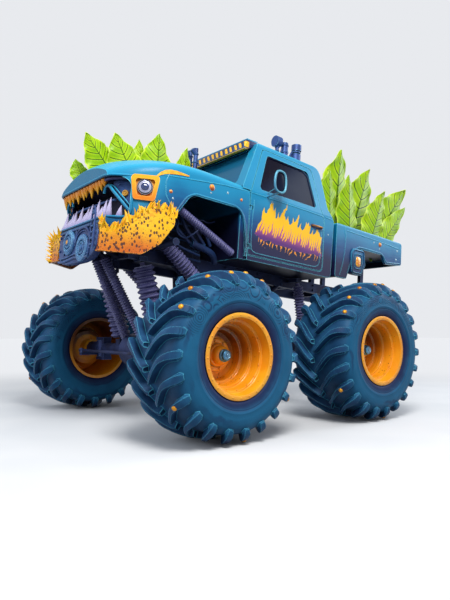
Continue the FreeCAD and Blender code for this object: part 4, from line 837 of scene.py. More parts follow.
def rim_finish(name, hub, side):
    """Orange-yellow enamel: bright on the outer ring and browner down the dish, where a painted shadow
    darkens the upper half; dark lines at each step, painted shade in the corners and a painted highlight
    along edges.
    """
    finish = Finish(name, coat_weight=0.35, coat_roughness=0.15)
    across, aside, up = finish.parts(finish.about(hub))
    depth = aside * side
    radius = (across * across + up * up) ** 0.5
    cloud = finish.noise(5.0, 4.0)
    specks = finish.cells(26.0).rise(0.22, 0.12) * finish.noise(4.0, 2.0).rise(0.48, 0.6)
    low_side = (up * -1.6 + 0.05).rise(-0.3, 0.5)
    contour = (depth * (math.pi / 0.036)).sine().size().rise(0.10, 0.03) * radius.rise(0.20, 0.24)
    inward = depth.rise(0.36, 0.05) * radius.rise(0.17, 0.20)
    crevice_shade = finish.crevice(0.035).rise(0.35, 0.95)
    edge_highlight_and_wear = finish.edge(0.006)
    tint = finish.mix(cloud.rise(0.3, 0.7), srgb(246, 156, 14), srgb(252, 178, 30))
    # Painted shadow: inside the dish the upper half is darkened to brown and the lower half kept orange.
    shadow = finish.mix(low_side, srgb(104, 52, 6), srgb(240, 150, 14))
    tint = finish.mix(inward, tint, shadow)
    tint = finish.mix(contour * inward * 0.75, tint, srgb(84, 40, 8))
    tint = finish.mix(specks * radius.rise(0.37, 0.34) * 0.9, tint, srgb(84, 38, 10))
    # Painted shade in the corners, then a painted highlight along the edges.
    tint = finish.mix(crevice_shade * 0.85, tint, srgb(92, 44, 12))
    tint = finish.mix(edge_highlight_and_wear * 0.6, tint, srgb(255, 212, 92))
    height = cloud * 0.4 + finish.noise(90.0, 2.0) * 0.2 - specks * 0.4
    return finish.finished(tint, finish.noise(14.0, 3.0) * 0.25 + 0.28, height, 0.0012)


blue_steel = steel_finish("blued steel", (70, 122, 160), (104, 158, 190), (205, 232, 240), 0.28, 0.75)
for place, (joint, side) in WHEELS.items():
    hub = Matrix.Translation(pivots[joint]) @ (Matrix() if side > 0 else MIRROR)
    disc = twin(wheel_disc, hub)
    disc.name = disc.data.name = "wheel_disc_" + place
    enamel = rim_finish("rim enamel " + place, pivots[joint], side)
    fit(disc, "wheel_" + place, enamel)
    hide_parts("rim_" + place)
    tip = twin(nose, hub)
    tip.name = tip.data.name = "spindle_nose_" + place
    fit(tip, "wheel_" + place, blue_steel)
    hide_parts("rim_" + place)
for spare in (wheel_disc, nose):
    bpy.data.objects.remove(spare)

# ---- body: cab, doors, bonnet, bed ---------------------------------------------------------------
# Moulded shells in one run of paint, bright teal along the top and darkened by painted shade to blue below it
# and navy at the sills, with painted highlights on upward faces and paler painted highlight lines along the
# edges of the mouldings.
LEVEL = (0.0, RAKE, 0.0)
BODY_PIVOT = Vector((MIDDLE_X, 0.0, RAKE_PIVOT_Z))


def body_coat(name):
    """The run of body paint with its painted shade and highlights, and the parts of the place on the level
    body, for patterns laid over it.
    """
    finish = Finish(name, coat_weight=0.08, coat_roughness=0.2, specular_ior_level=0.22)
    level = finish.about(BODY_PIVOT, LEVEL)
    along, aside, up = finish.parts(level)
    cloud = finish.noise(2.2, 4.0)
    streak = finish.noise(1.0, 4.0, finish.stretched(1.6, 3.0, 14.0))
    # Painted shade: the colour darkens lower down, through blue to navy at the sills.
    rise = up + (cloud - 0.5) * 0.22 + (streak - 0.5) * 0.12 + along.rise(1.25, 1.7) * 0.34
    light = finish.upward().rise(0.15, 0.95)
    tint = finish.mix(rise.rise(0.12, 0.44), srgb(27, 28, 68), srgb(14, 74, 130))
    tint = finish.mix(rise.rise(0.32, 0.70), tint, srgb(20, 136, 182))
    # Painted highlight on faces that look up, then painted shade on faces that look down.
    tint = finish.mix(light * 0.6, tint, srgb(56, 180, 216))
    tint = finish.mix(finish.upward().rise(-0.4, -0.9) * 0.85, tint, srgb(12, 13, 38))
    # Painted shade: high forward-facing faces turn a darker teal.
    forward = finish.parts(finish.node("ShaderNodeNewGeometry").outputs["Normal"])[0]
    tint = finish.mix(forward.rise(0.75, 0.97) * up.rise(0.30, 0.55) * 0.8, tint, srgb(6, 100, 138))
    # Painted shade: inboard faces low down, inside the arches, go nearly black.
    inner = aside.size().rise(0.930, 0.895) * up.rise(0.50, 0.46) * along.rise(1.42, 1.30)
    tint = finish.mix(inner * 0.92, tint, srgb(10, 12, 34))
    return finish, tint, cloud, streak, (along, aside, up)


def body_lacquer(finish, tint, cloud, streak, wear=1.0):
    """Finish a run of body paint: painted shade in the corners, pale painted highlights along the edges in
    worn-looking patches, faint orange peel and scratches.
    """
    crevice_shade = finish.crevice(0.10).rise(0.32, 0.95)
    edge_highlight_and_wear = finish.edge(0.016) * finish.noise(5.0, 3.0).rise(0.15, 0.4)
    chips = finish.cells(30.0).rise(0.14, 0.08) * finish.noise(2.0, 2.0).rise(0.56, 0.66)
    # Painted shade in the corners, then chips, then the painted edge highlight.
    tint = finish.mix(crevice_shade * 0.75, tint, srgb(14, 18, 52))
    tint = finish.mix(chips * 0.6 * wear, tint, srgb(24, 44, 96))
    tint = finish.mix(edge_highlight_and_wear * 0.85, tint, srgb(104, 214, 236))
    peel = finish.noise(160.0, 2.0) * 0.25 + streak * 0.3 - chips * 0.6
    rough = cloud * 0.22 + 0.30 + crevice_shade * 0.2
    return finish.finished(tint, rough, peel, 0.0012)


FLAME_START = 0.115
FLAME_LENGTH = 1.27
FLAME_FOOT = 0.215


def tongues(finish, place, pitch, start, sharp):
    """A row of upright points, 1 at each tip and 0 between two of them."""
    return (1 - (place * (math.pi / pitch) + start).sine().size()) ** sharp


def flame_paint(finish, tint, along, up):
    """Painted flames of the common hot-rod kind: yellow tongues over a violet bed with a ragged foot."""
    height = up - FLAME_FOOT
    wander = finish.noise(6.0, 3.0) - 0.5
    place = FLAME_START - along - height * 0.20 + wander * 0.13
    height = height + place * 0.05 - 0.03
    ends = place.rise(-0.02, 0.10) * place.rise(FLAME_LENGTH, FLAME_LENGTH - 0.16)
    reach = tongues(finish, place, 0.225, 0.5, 1.6) * 0.16 + tongues(finish, place, 0.083, 0.2, 1.4) * 0.10
    reach = (reach + 0.27) * ends * (1.12 - place * 0.24)
    roots = (tongues(finish, place + wander * 0.2, 0.071, 0.9, 1.6) * 0.09 + wander * 0.12 + 0.03) * ends
    flame = (reach - height).rise(0.0, 0.005) * (height + roots).rise(0.0, 0.005)
    bed = (
        tongues(finish, place, 0.043, 0.4, 1.3) * 0.16 + tongues(finish, place, 0.17, 1.7, 1.4) * 0.07
    ) * ends
    violet = (bed + 0.03 - height).rise(0.0, 0.006) * (height + 0.05 + wander * 0.16).rise(0.0, 0.012) * flame
    hot = finish.mix(height.rise(-0.04, 0.10), srgb(250, 160, 10), srgb(255, 196, 12))
    deep = finish.mix(height.rise(-0.02, 0.12), srgb(92, 44, 118), srgb(186, 92, 142))
    tint = finish.mix(flame, tint, hot)
    return finish.mix(violet, tint, deep)


body_paint = body_lacquer(*body_coat("body paint")[:4])
dress(["front_clip", "cab_shell", "bed", "tailgate"], body_paint)
coat, door_tint, door_cloud, door_streak, (door_along, _, door_up) = body_coat("door paint")
door_tint = flame_paint(coat, door_tint, door_along, door_up)
door_paint = body_lacquer(coat, door_tint, door_cloud, door_streak)
dress(["door_left", "door_right"], door_paint)


def on_side(node, x, z, side=1, lift=0.0):
    """Where a level line from the side meets a body shell, and the way the shell faces there."""
    start = on_body(x, side * 2.2, z)
    found, spot, facing, _ = nodes[node].ray_cast(start, Vector((0.0, -side, 0.0)))
    if not found:
        _, spot, facing, _ = nodes[node].closest_point_on_mesh(on_body(x, side * 0.97, z))
    return spot + facing * lift, facing


def along_route(route, spacing=0.09):
    """Extra places between the corners of a route, so that a bead laid on them hugs the shell."""
    places = [route[0]]
    for start, finish in zip(route, route[1:]):
        steps = max(1, round(math.dist(start, finish) / spacing))
        places += [tuple(a + (b - a) * i / steps for a, b in zip(start, finish)) for i in range(1, steps + 1)]
    return places


# swaged beads pressed into the panels: name, shell, body it rides on, radius, then (x, z) from end to end
BEADS = [
    (
        "wing_crease", "front_clip", "chassis", 0.010,
        [(1.44, 2.63), (1.17, 2.655), (0.90, 2.69), (0.62, 2.725), (0.25, 2.742)]
    ),
    (
        "wing_lip", "front_clip", "chassis", 0.014,
        [
            (0.232, 2.00), (0.236, 2.17), (0.270, 2.36), (0.325, 2.475), (0.43, 2.518), (0.75, 2.520),
            (1.02, 2.518), (1.13, 2.455), (1.245, 2.27)
        ]
    ),
    (
        "wing_front", "front_clip", "chassis", 0.010,
        [(1.30, 2.29), (1.385, 2.42), (1.395, 2.58), (1.36, 2.655)]
    ),
    (
        "bed_lip", "bed", "chassis", 0.014,
        [
            (-1.665, 2.03), (-1.715, 2.16), (-1.80, 2.38), (-1.89, 2.452), (-2.10, 2.456), (-2.43, 2.455),
            (-2.50, 2.42), (-2.565, 2.335), (-2.92, 2.372)
        ]
    ),
    (
        "bed_flare", "bed", "chassis", 0.012,
        [(-1.575, 2.69), (-1.60, 2.55), (-1.595, 2.36), (-1.56, 2.16), (-1.50, 1.99)]
    ),
    (
        "bed_crease", "bed", "chassis", 0.009,
        [(-1.62, 2.640), (-2.10, 2.630), (-2.55, 2.620), (-2.90, 2.600)]
    ),
    ("cab_crease", "cab_shell", "chassis", 0.009, [(-1.145, 2.730), (-1.22, 2.728), (-1.29, 2.720)]),
    (
        "door_crease", "door", "door", 0.009,
        [(0.185, 2.742), (-0.3, 2.740), (-0.8, 2.736), (-1.115, 2.731)]
    ),
    (
        "door_hem", "door", "door", 0.008,
        [
            (0.150, 2.66), (0.162, 2.30), (0.155, 2.06), (0.10, 2.012), (-0.5, 2.010), (-0.99, 2.014),
            (-1.07, 2.06), (-1.085, 2.30), (-1.088, 2.52)
        ]
    )
]
for name, shell, body, radius, route in BEADS:
    for side, hand in ((1, "left"), (-1, "right")):
        node = shell if shell in nodes else shell + "_" + hand
        places = [on_side(node, x, z, side, -radius * 0.45)[0] for x, z in along_route(route)]
        piece = tube(name + "_" + hand, places, radius, 2)
        paint = body_paint if body == "chassis" else door_paint
        fit(piece, "chassis" if body == "chassis" else "door_" + hand + "_leaf", paint)

# ---- buttons, handles and stripes on the body ----------------------------------------------------
# Amber marker buttons and small bolts pushed into the panels, a pull handle in a recess of each door, and
# a yellow stripe that runs back from each headlamp over the wing.
button_amber = Finish("amber button", coat_weight=0.5, coat_roughness=0.1, roughness=0.3)
button_cloud = button_amber.noise(30.0, 2.0)
# Painted light: bright orange highlight on upper faces, shaded darker on lower ones.
button_tint = button_amber.mix(button_amber.upward().rise(-0.4, 0.8), srgb(196, 92, 16), srgb(255, 178, 30))
button_amber.finished(button_tint, button_cloud * 0.15 + 0.2, button_cloud, 0.0005)
bolt_pale = steel_finish("bright bolt", (120, 160, 176), (180, 210, 216), (240, 250, 250), 0.3, 0.6)


def button(name, radius, height):
    """Domed button on a flanged collar, about +Z, foot at the origin."""
    profile = [(radius * 1.25, -0.004), (radius * 1.25, height * 0.10), (radius * 1.15, height * 0.16),
               (radius, height * 0.18)]
    for i in range(1, 6):
        bend = i / 6 * math.pi / 2
        profile.append((radius * math.cos(bend), height * (0.2 + 0.8 * math.sin(bend))))
    return turned(name, profile + [(0.0, height)], 24)


# buttons: shell, x, z, radius, finish
BUTTONS = [
    ("front_clip", 0.792, 2.650, 0.030, "amber"),
    ("front_clip", 0.349, 2.610, 0.015, "amber"),
    ("front_clip", 0.560, 2.645, 0.011, "pale"),
    ("front_clip", 0.800, 2.585, 0.009, "pale"),
    ("front_clip", 1.330, 2.470, 0.016, "amber"),
    ("front_clip", 1.300, 2.400, 0.009, "pale"),
    ("bed", -2.400, 2.580, 0.027, "amber"),
    ("bed", -2.390, 2.510, 0.009, "pale"),
    ("bed", -2.845, 2.560, 0.012, "pale"),
    ("bed", -2.820, 2.420, 0.012, "pale"),
    ("bed", -2.250, 2.585, 0.009, "pale"),
    ("cab_shell", -1.225, 2.500, 0.009, "pale"),
]
for kind, finish in (("amber", button_amber.material), ("pale", bolt_pale)):
    found = []
    for shell, x, z, radius, wanted in BUTTONS:
        if wanted != kind:
            continue
        for side in (1, -1):
            spot, facing = on_side(shell, x, z, side)
            found.append(stand(button("button", radius, radius * 0.75), spot, facing))
    fit(
        together(kind + "_buttons", found), "chassis",
        finish
    )

HANDLE_X = (-0.895, -1.075)
HANDLE_Z = 2.560
handle_dark = steel_finish("handle recess", (14, 22, 58), (20, 34, 78), (60, 110, 160), 0.5, 0.1)
handle_bronze = steel_finish("handle grip", (128, 84, 46), (190, 128, 48), (248, 206, 120), 0.3, 0.6)
for side, hand in ((1, "left"), (-1, "right")):
    ends = [on_side("door_" + hand, x, HANDLE_Z, side)[0] for x in HANDLE_X]
    out = Vector((0.0, side, 0.0))
    grip = tube(
        "grip",
        [
            ends[0] - out * 0.01, ends[0] + out * 0.030, ends[0] * 0.85 + ends[1] * 0.15 + out * 0.036,
            ends[0] * 0.15 + ends[1] * 0.85 + out * 0.036, ends[1] + out * 0.030, ends[1] - out * 0.01
        ],
        0.011, 3
    )
    fit(grip, "door_" + hand + "_leaf", handle_bronze)
    grip.name = grip.data.name = "handle_grip_" + hand
    bpy.ops.object.select_all(action="DESELECT")
    bpy.ops.mesh.primitive_uv_sphere_add(segments=40, ring_count=20, radius=1.0)
    cup = named("handle_cup_" + hand)
    for point in cup.data.vertices:
        bulge = math.copysign(abs(point.co.y) ** 3, point.co.y)
        point.co = Vector((math.copysign(abs(point.co.x) ** 0.45, point.co.x) * 0.122, bulge * 0.004,
                           math.copysign(abs(point.co.z) ** 0.6, point.co.z) * 0.030))
    middle = (ends[0] + ends[1]) / 2 + out * 0.001
    cup.data.transform(Matrix.Translation(middle) @ Matrix.Rotation(-RAKE, 4, "Y"))
    fit(cup, "door_" + hand + "_leaf", handle_dark)

stripe_yellow = Finish("stripe", coat_weight=0.3, coat_roughness=0.2)
stripe_cloud = stripe_yellow.noise(20.0, 3.0)
stripe_tint = stripe_yellow.mix(stripe_cloud.rise(0.3, 0.7), srgb(236, 158, 20), srgb(255, 196, 40))
stripe_yellow.finished(stripe_tint, stripe_cloud * 0.2 + 0.3, stripe_cloud, 0.0005)


def thicken(piece, thickness, offset=0.0):
    """Give a skin its thickness: half to each side, or all of it inward with an offset of -1."""
    pick(piece)
    skin = piece.modifiers.new("thickness", "SOLIDIFY")
    skin.thickness = thickness
    skin.offset = offset
    bpy.ops.object.modifier_apply(modifier=skin.name)
    return piece


# painted stripe over each wing: x, z, half height
STRIPE = [(1.500, 2.600, 0.010), (1.460, 2.640, 0.018), (1.410, 2.668, 0.023), (1.350, 2.683, 0.024),
          (1.280, 2.690, 0.020), (1.200, 2.692, 0.013), (1.120, 2.692, 0.006)]
for side, hand in ((1, "left"), (-1, "right")):
    bpy.ops.object.select_all(action="DESELECT")
    bpy.ops.mesh.primitive_grid_add(x_subdivisions=len(STRIPE) * 3 - 3, y_subdivisions=2, size=2.0)
    band = named("wing_stripe_" + hand)
    for point in band.data.vertices:
        share = (point.co.x + 1) / 2 * (len(STRIPE) - 1)
        i = min(int(share), len(STRIPE) - 2)
        x, z, half = (a + (b - a) * (share - i) for a, b in zip(STRIPE[i], STRIPE[i + 1]))
        point.co = on_side("front_clip", x, z + point.co.y * half, side, 0.003)[0]
    fit(outward(thicken(band, 0.005)), "chassis", stripe_yellow.material)

# ---- glass ---------------------------------------------------------------------------------------
# Tinted panes, nearly black in the doors and blue-green in front and at the back, crossed by a soft paler
# band of painted reflection.


def pane_finish(name, dark, light, clear):
    finish = Finish(name, roughness=0.2, specular_ior_level=0.06, alpha=clear)
    along, aside, up = finish.parts(finish.about(BODY_PIVOT, LEVEL))
    painted_glint = ((along + up * 1.25) * 2.1 + finish.noise(1.4, 2.0) * 0.5).sine() * 0.5 + 0.5
    # Painted reflection: a soft pale diagonal band across each pane.
    tint = finish.mix(painted_glint.rise(0.62, 0.95) * 0.8, dark, light)
    return finish.finished(tint, finish.noise(8.0, 3.0) * 0.1 + 0.12)


door_pane = pane_finish("door glass", srgb(13, 11, 30), srgb(22, 34, 60), 0.985)
screen_pane = pane_finish("screen glass", srgb(22, 92, 128), srgb(40, 134, 168), 0.95)
dress(["glass_left", "glass_right"], door_pane)
dress(["fixed_glass"], screen_pane)

# Rubber seals round the door windows, with a paler painted highlight along the lip.
seal_rubber = steel_finish("seal rubber", (18, 24, 56), (26, 40, 84), (70, 150, 190), 0.5, 0.0)
WINDOW = [(0.052, 2.835), (-0.135, 3.315), (-0.185, 3.337), (-0.86, 3.324), (-0.905, 3.290), (-0.985, 2.85),
          (-0.965, 2.826), (0.03, 2.826)]
for side, hand in ((1, "left"), (-1, "right")):
    places = [
        on_side("glass_" + hand, x, z, side, 0.004)[0]
        for x, z in along_route(WINDOW + WINDOW[:1], 0.05)
    ]
    seal = tube("window_seal_" + hand, places[:-1], 0.009, 2, closed=True)
    fit(seal, "door_" + hand + "_leaf", seal_rubber)

# ---- mouth: liner and teeth ----------------------------------------------------------------------
# A dark moulded cavity behind the nose opening, a row of short orange teeth above and a row of long pale
# ones below.  Each tooth is a turned cone, ribbed lengthwise and bent a little, set in a gum strip.
NOSE_X = 1.930
MOUTH_BASE = 2.120
MOUTH_TOP = 2.570
LIP_FLAT = 0.600
LIP_TURN = 0.9
cavity = Finish("mouth cavity", roughness=0.55)
cavity_cloud = cavity.noise(5.0, 4.0)
cavity_tint = cavity.mix(cavity_cloud.rise(0.35, 0.65), srgb(12, 10, 34), srgb(26, 24, 62))
# Painted highlight along the edges of the cavity's moulding.
cavity_tint = cavity.mix(cavity.edge(0.02) * 0.6, cavity_tint, srgb(52, 74, 136))
cavity.finished(cavity_tint, cavity_cloud * 0.3 + 0.4, cavity.noise(26.0, 4.0), 0.004)
dress(["mouth_liner"], cavity.material)


def tooth_finish(name, foot, tip, low, high, crevice_shade_colour):
    """Enamel: one colour at the gum blending into another at the tip, painted shade where it meets other
    pieces, a paler painted highlight along its edges, and fine lengthwise grooves.
    """
    finish = Finish(name, coat_weight=0.12, coat_roughness=0.12, specular_ior_level=0.3)
    up = finish.parts(finish.about(BODY_PIVOT, LEVEL))[2] + RAKE_PIVOT_Z
    groove = finish.noise(1.0, 3.0, finish.stretched(60.0, 60.0, 5.0))
    share = (up + (groove - 0.5) * 0.05).rise(low, high)
    tint = finish.mix(share, foot, tip)
    # Painted shade in the corners, then a painted highlight along the edges.
    tint = finish.mix(finish.crevice(0.04).rise(0.4, 0.95) * 0.6, tint, crevice_shade_colour)
    tint = finish.mix(finish.edge(0.006) * 0.6, tint, tuple(min(1.0, c * 1.5 + 0.05) for c in tip))
    return finish.finished(tint, groove * 0.3 + 0.2, groove, 0.003)


pale_tooth = tooth_finish(
    "pale enamel", srgb(112, 104, 160), srgb(182, 176, 212), 2.10, 2.22, srgb(50, 42, 92)
)
amber_tooth = tooth_finish(
    "amber enamel", srgb(255, 184, 36), srgb(248, 148, 8), 2.46, 2.55, srgb(206, 104, 8)
)


def lip_x(y):
    return NOSE_X - 0.052 - max(0.0, abs(y) - LIP_FLAT) * LIP_TURN


def tooth(name, root, length, width, lean, back):
    """One tooth about a root on the lip; length below zero hangs down.  It bows back toward its tip."""
    profile = []
    for share, reach in (
        (-0.06, 1.02), (0.0, 1.0), (0.12, 0.95), (0.3, 0.8), (0.5, 0.6), (0.7, 0.38), (0.86, 0.2), (0.95, 0.1)
    ):
        profile.append((reach * width / 2, share * abs(length)))
    cone = turned(name, profile + [(0.0, abs(length))], 14)
    for point in cone.data.vertices:
        share = point.co.z / abs(length)
        ridge = 1 + 0.07 * math.cos(5 * math.atan2(point.co.y, point.co.x))
        place = Vector((point.co.x * ridge * 0.8, point.co.y * ridge, point.co.z))
        place.x -= back * share * share
        place.y += lean * share
        point.co = place if length > 0 else Vector((place.x, place.y, -place.z))
    if length < 0:
        cone.data.flip_normals()
    for point in cone.data.vertices:
        point.co = on_body(root[0] + point.co.x, root[1] + point.co.y, root[2] + point.co.z)
    return cone


def gum(name, z, thick, half):
    """Rounded strip along the lip, the teeth's bed."""
    places = []
    for i in range(17):
        y = half * (i / 8 - 1)
        places.append(on_body(lip_x(y), y, z))
    return tube(name, places, thick, 3)


upper = []
for i in range(19):
    y = 0.69 - 1.38 * i / 18
    if y > 0.47:
        continue  # the jaw's bracket fills the left corner
    length = (0.130, 0.080, 0.148, 0.072, 0.110)[i % 5] if y > -0.66 else 0.210
    upper.append(tooth("tooth", (lip_x(y), y, MOUTH_TOP - 0.006), -length, 0.096, 0.008 * (-1) ** i, 0.012))
fit(together("upper_teeth", upper), "chassis", amber_tooth)
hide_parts("teeth")
lower = []
for i in range(17):
    y = 0.70 * (i / 8 - 1)
    length = (0.225, 0.135, 0.240, 0.150, 0.205)[i % 5]
    lower.append(tooth("tooth", (lip_x(y), y, MOUTH_BASE + 0.008), length, 0.088, 0.005 * (-1) ** i, 0.02))
fit(together("lower_teeth", lower), "chassis", pale_tooth)
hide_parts("teeth")
gum_finish = steel_finish("gum strip", (24, 24, 62), (40, 44, 98), (110, 140, 200), 0.4, 0.1)
gums = [gum("gum", MOUTH_TOP - 0.012, 0.020, 0.765), gum("gum", MOUTH_BASE + 0.012, 0.020, 0.765)]
fit(together("gum_strips", gums), "chassis", gum_finish)
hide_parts("teeth")

# ---- mouth: lip rolls, corner plates and brackets ------------------------------------------------
# The opening's edge is rolled over a wire.  In each corner of the mouth a cast plate with a brass boss is
# bolted behind the lip, and a bent strap runs down in front of it from the upper lip to the lower.
FORWARD = (on_body(1, 0, 2) - on_body(0, 0, 2)).normalized()
# the edge of the mouth's opening: y, z
LIP_ROUTE = [(-0.800, 2.35), (-0.795, 2.50), (-0.735, 2.575), (0.735, 2.575), (0.795, 2.50), (0.800, 2.35),
             (0.798, 2.16), (0.760, 2.118), (-0.760, 2.118), (-0.798, 2.16)]
lip_places = []
for y, z in along_route(LIP_ROUTE, 0.08):
    ahead = on_body(3.2, y, z) + Vector((0, math.copysign(0.012, y), 0))
    found, spot, _, _ = nodes["front_clip"].ray_cast(ahead, -FORWARD)
    if not found or spot.x < on_body(1.60, 0, 2.3).x:
        beside = on_body(NOSE_X - max(0, abs(y) - 0.64) * 2.2, y, z)
        _, spot, _, _ = nodes["front_clip"].closest_point_on_mesh(beside)
    lip_places.append(spot)
lip = tube("lip_roll", lip_places, 0.016, 3, closed=True)
fit(lip, "chassis", body_paint)


def soften(piece, width, segments):
    """Round the sharp edges of a piece over."""
    pick(piece)
    soft = piece.modifiers.new("soft edge", "BEVEL")
    soft.width = width
    soft.segments = segments
    soft.limit_method = "ANGLE"
    bpy.ops.object.modifier_apply(modifier=soft.name)
    return piece


def panel(name, corners, thick, round_edge):
    """Flat plate: an outline of places in order, filled, thickened, its edges softened."""
    bpy.ops.object.select_all(action="DESELECT")
    bpy.ops.mesh.primitive_circle_add(vertices=len(corners), radius=1.0, fill_type="NGON")
    plate = named(name)
    for point, corner in zip(plate.data.vertices, corners):
        point.co = corner
    plate.location = (0.0, 0.0, 0.0)
    return soften(thicken(outward(plate), thick), round_edge, 2)


plate_blue = steel_finish("corner plate", (26, 50, 104), (44, 84, 146), (90, 150, 200), 0.45, 0.2)
boss_brass = steel_finish("brass boss", (150, 96, 30), (214, 160, 60), (250, 226, 140), 0.3, 0.5)


def on_lip(y, z, back=0.0):
    return on_body(lip_x(y) - back, y, z)


CORNER_PLATE = [
    (0.540, 2.545), (0.640, 2.560), (0.755, 2.520), (0.785, 2.400), (0.795, 2.200), (0.760, 2.135),
    (0.715, 2.200), (0.640, 2.330), (0.560, 2.460)
]
BRACKET = [(0.425, 2.425), (0.432, 2.475), (0.478, 2.502), (0.545, 2.490), (0.605, 2.430), (0.665, 2.345),
           (0.725, 2.260), (0.790, 2.165)]
BOSS_PROFILE = [
    (0.036, -0.01), (0.036, 0.006), (0.031, 0.013), (0.024, 0.013), (0.020, 0.004), (0.012, 0.004),
    (0.010, 0.010), (0.0, 0.011)
]
corner_plates, brackets, bosses = [], [], []
for side in (1, -1):
    corner_plates.append(panel("plate", [on_lip(side * y, z, 0.075) for y, z in CORNER_PLATE], 0.016, 0.004))
    brackets.append(tube("bracket", [on_lip(side * y, z, 0.030) for y, z in BRACKET], 0.017, 4))
    brackets.append(
        tube("bracket", [on_lip(side * (y + 0.022), z + 0.012, 0.050) for y, z in BRACKET[2:]], 0.009, 3)
    )
    place = on_lip(side * 0.690, 2.405, 0.066)
    turn = (FORWARD + Vector((0, side * 0.8, 0))).normalized()
    bosses.append(stand(turned("boss", BOSS_PROFILE, 32), place, turn))
    for y, z in ((0.630, 2.500), (0.735, 2.480), (0.765, 2.300), (0.740, 2.205)):
        corner_plates.append(stand(bolt("bolt", 0.020, 0.010), on_lip(side * y, z, 0.067), turn))
fit(together("corner_plates", corner_plates), "chassis", plate_blue)
fit(together("jaw_brackets", brackets), "chassis", body_paint)
fit(together("jaw_bosses", bosses), "chassis", boss_brass)
inner_bars = [
    tube(
        "bar",
        [
            on_lip(-0.66, 2.400, 0.10), on_lip(-0.4, 2.385, 0.10), on_lip(0.0, 2.372, 0.10),
            on_lip(0.4, 2.365, 0.10), on_lip(0.57, 2.345, 0.10)
        ],
        0.014, 3
    ),
    tube(
        "bar", [on_lip(-0.66, 2.400, 0.10), on_lip(-0.675, 2.28, 0.10), on_lip(-0.66, 2.14, 0.10)], 0.012,
        3
    )
]
fit(together("palate_bars", inner_bars), "chassis", plate_blue)

# ---- headlamps -----------------------------------------------------------------------------------
# An orange moulded bezel sunk in the corner of the nose, a grey pan in it, and a plain round lamp:
# stepped chrome rings round a dark domed lens.  The rear arches carry a smaller pod of the same make.
LAMP_AT = (1.590, 0.868, 2.460)
LAMP_TURN = math.radians(62)
bezel_orange = Finish("lamp orange", coat_weight=0.12, coat_roughness=0.15, specular_ior_level=0.25)
bezel_cloud = bezel_orange.noise(6.0, 3.0)
bezel_along, _, bezel_up = bezel_orange.parts(bezel_orange.about(BODY_PIVOT, LEVEL))
bezel_up = bezel_up + RAKE_PIVOT_Z
bezel_tint = bezel_orange.mix(
    (bezel_up + (bezel_cloud - 0.5) * 0.15).rise(2.30, 2.58), srgb(232, 124, 6), srgb(255, 176, 14)
)
# Painted shade in the corners, then a painted highlight along the edges.
bezel_tint = bezel_orange.mix(bezel_orange.crevice(0.05).rise(0.4, 0.95) * 0.8, bezel_tint, srgb(120, 40, 22))
bezel_tint = bezel_orange.mix(bezel_orange.edge(0.012) * 0.7, bezel_tint, srgb(255, 214, 110))
# The pods' blue darkens lower down with painted shade like the body, with a painted highlight along their
# edges.
pod_blue = bezel_orange.mix(bezel_up.rise(2.06, 2.40), srgb(22, 40, 92), srgb(22, 104, 156))
pod_blue = bezel_orange.mix(bezel_orange.edge(0.016) * 0.8, pod_blue, srgb(104, 204, 230))
bezel_tint = bezel_orange.mix(bezel_along.rise(-0.9, -1.1), bezel_tint, pod_blue)
bezel_orange.finished(bezel_tint, bezel_cloud * 0.2 + 0.22, bezel_orange.noise(120.0, 2.0), 0.0006)
dress(["lamps"], bezel_orange.material)

pan_grey = steel_finish("lamp pan", (84, 88, 104), (120, 124, 140), (210, 214, 226), 0.35, 0.3)
ring_white = steel_finish("lamp rings", (150, 152, 184), (186, 188, 212), (228, 230, 244), 0.25, 0.5)
lens_blue = Finish("lamp lens", roughness=0.05, coat_weight=0.8, coat_roughness=0.02)
lens_cloud = lens_blue.noise(30.0, 3.0)
lens_tint = lens_blue.mix(lens_cloud.rise(0.3, 0.7), srgb(16, 22, 62), srgb(40, 66, 130))
lens_blue.finished(lens_tint, lens_cloud * 0.1 + 0.03)


def at_lamp(piece, side=1):
    """Move a part made about +Z, pointing out of the lamp, to the left or right corner of the nose."""
    turn = Matrix.Rotation(LAMP_TURN, 4, "Z") @ Matrix.Rotation(math.pi / 2, 4, "Y")
    piece.data.transform(Matrix.Translation(Vector(LAMP_AT)) @ turn)
    rake = Matrix.Translation((MIDDLE_X, 0, RAKE_PIVOT_Z)) @ Matrix.Rotation(-RAKE, 4, "Y")
    piece.data.transform(rake @ Matrix.Translation((0, 0, -RAKE_PIVOT_Z)))
    if side < 0:
        piece.data.transform(MIRROR)
        piece.data.flip_normals()
    return piece


lamp_parts = {"pan": [], "rings": [], "lens": []}
for side in (1, -1):
    pan = turned("pan", [(0.0, 0.004), (0.070, 0.004), (0.078, 0.010), (0.084, 0.022), (0.080, 0.025),
                         (0.075, 0.022), (0.069, 0.014), (0.0, 0.012)], 48)
    rings = turned("rings", [(0.067, 0.016), (0.066, 0.029), (0.060, 0.031), (0.057, 0.028), (0.053, 0.026),
                             (0.050, 0.030), (0.045, 0.031), (0.042, 0.027), (0.040, 0.020)], 48)
    lens = turned("lens", [(0.041, 0.020), (0.040, 0.024), (0.034, 0.029), (0.024, 0.0325), (0.012, 0.0335),
                           (0.0, 0.0335)], 40)
    for key, part in (("pan", pan), ("rings", rings), ("lens", lens)):
        part.data.transform(Matrix.Translation((-0.005, -0.008, 0.0)))
        lamp_parts[key].append(at_lamp(part, side))
fit(together("lamp_pans", lamp_parts["pan"]), "chassis", pan_grey)
fit(together("lamp_rings", lamp_parts["rings"]), "chassis", ring_white)
fit(together("lamp_lenses", lamp_parts["lens"]), "chassis", lens_blue.material)

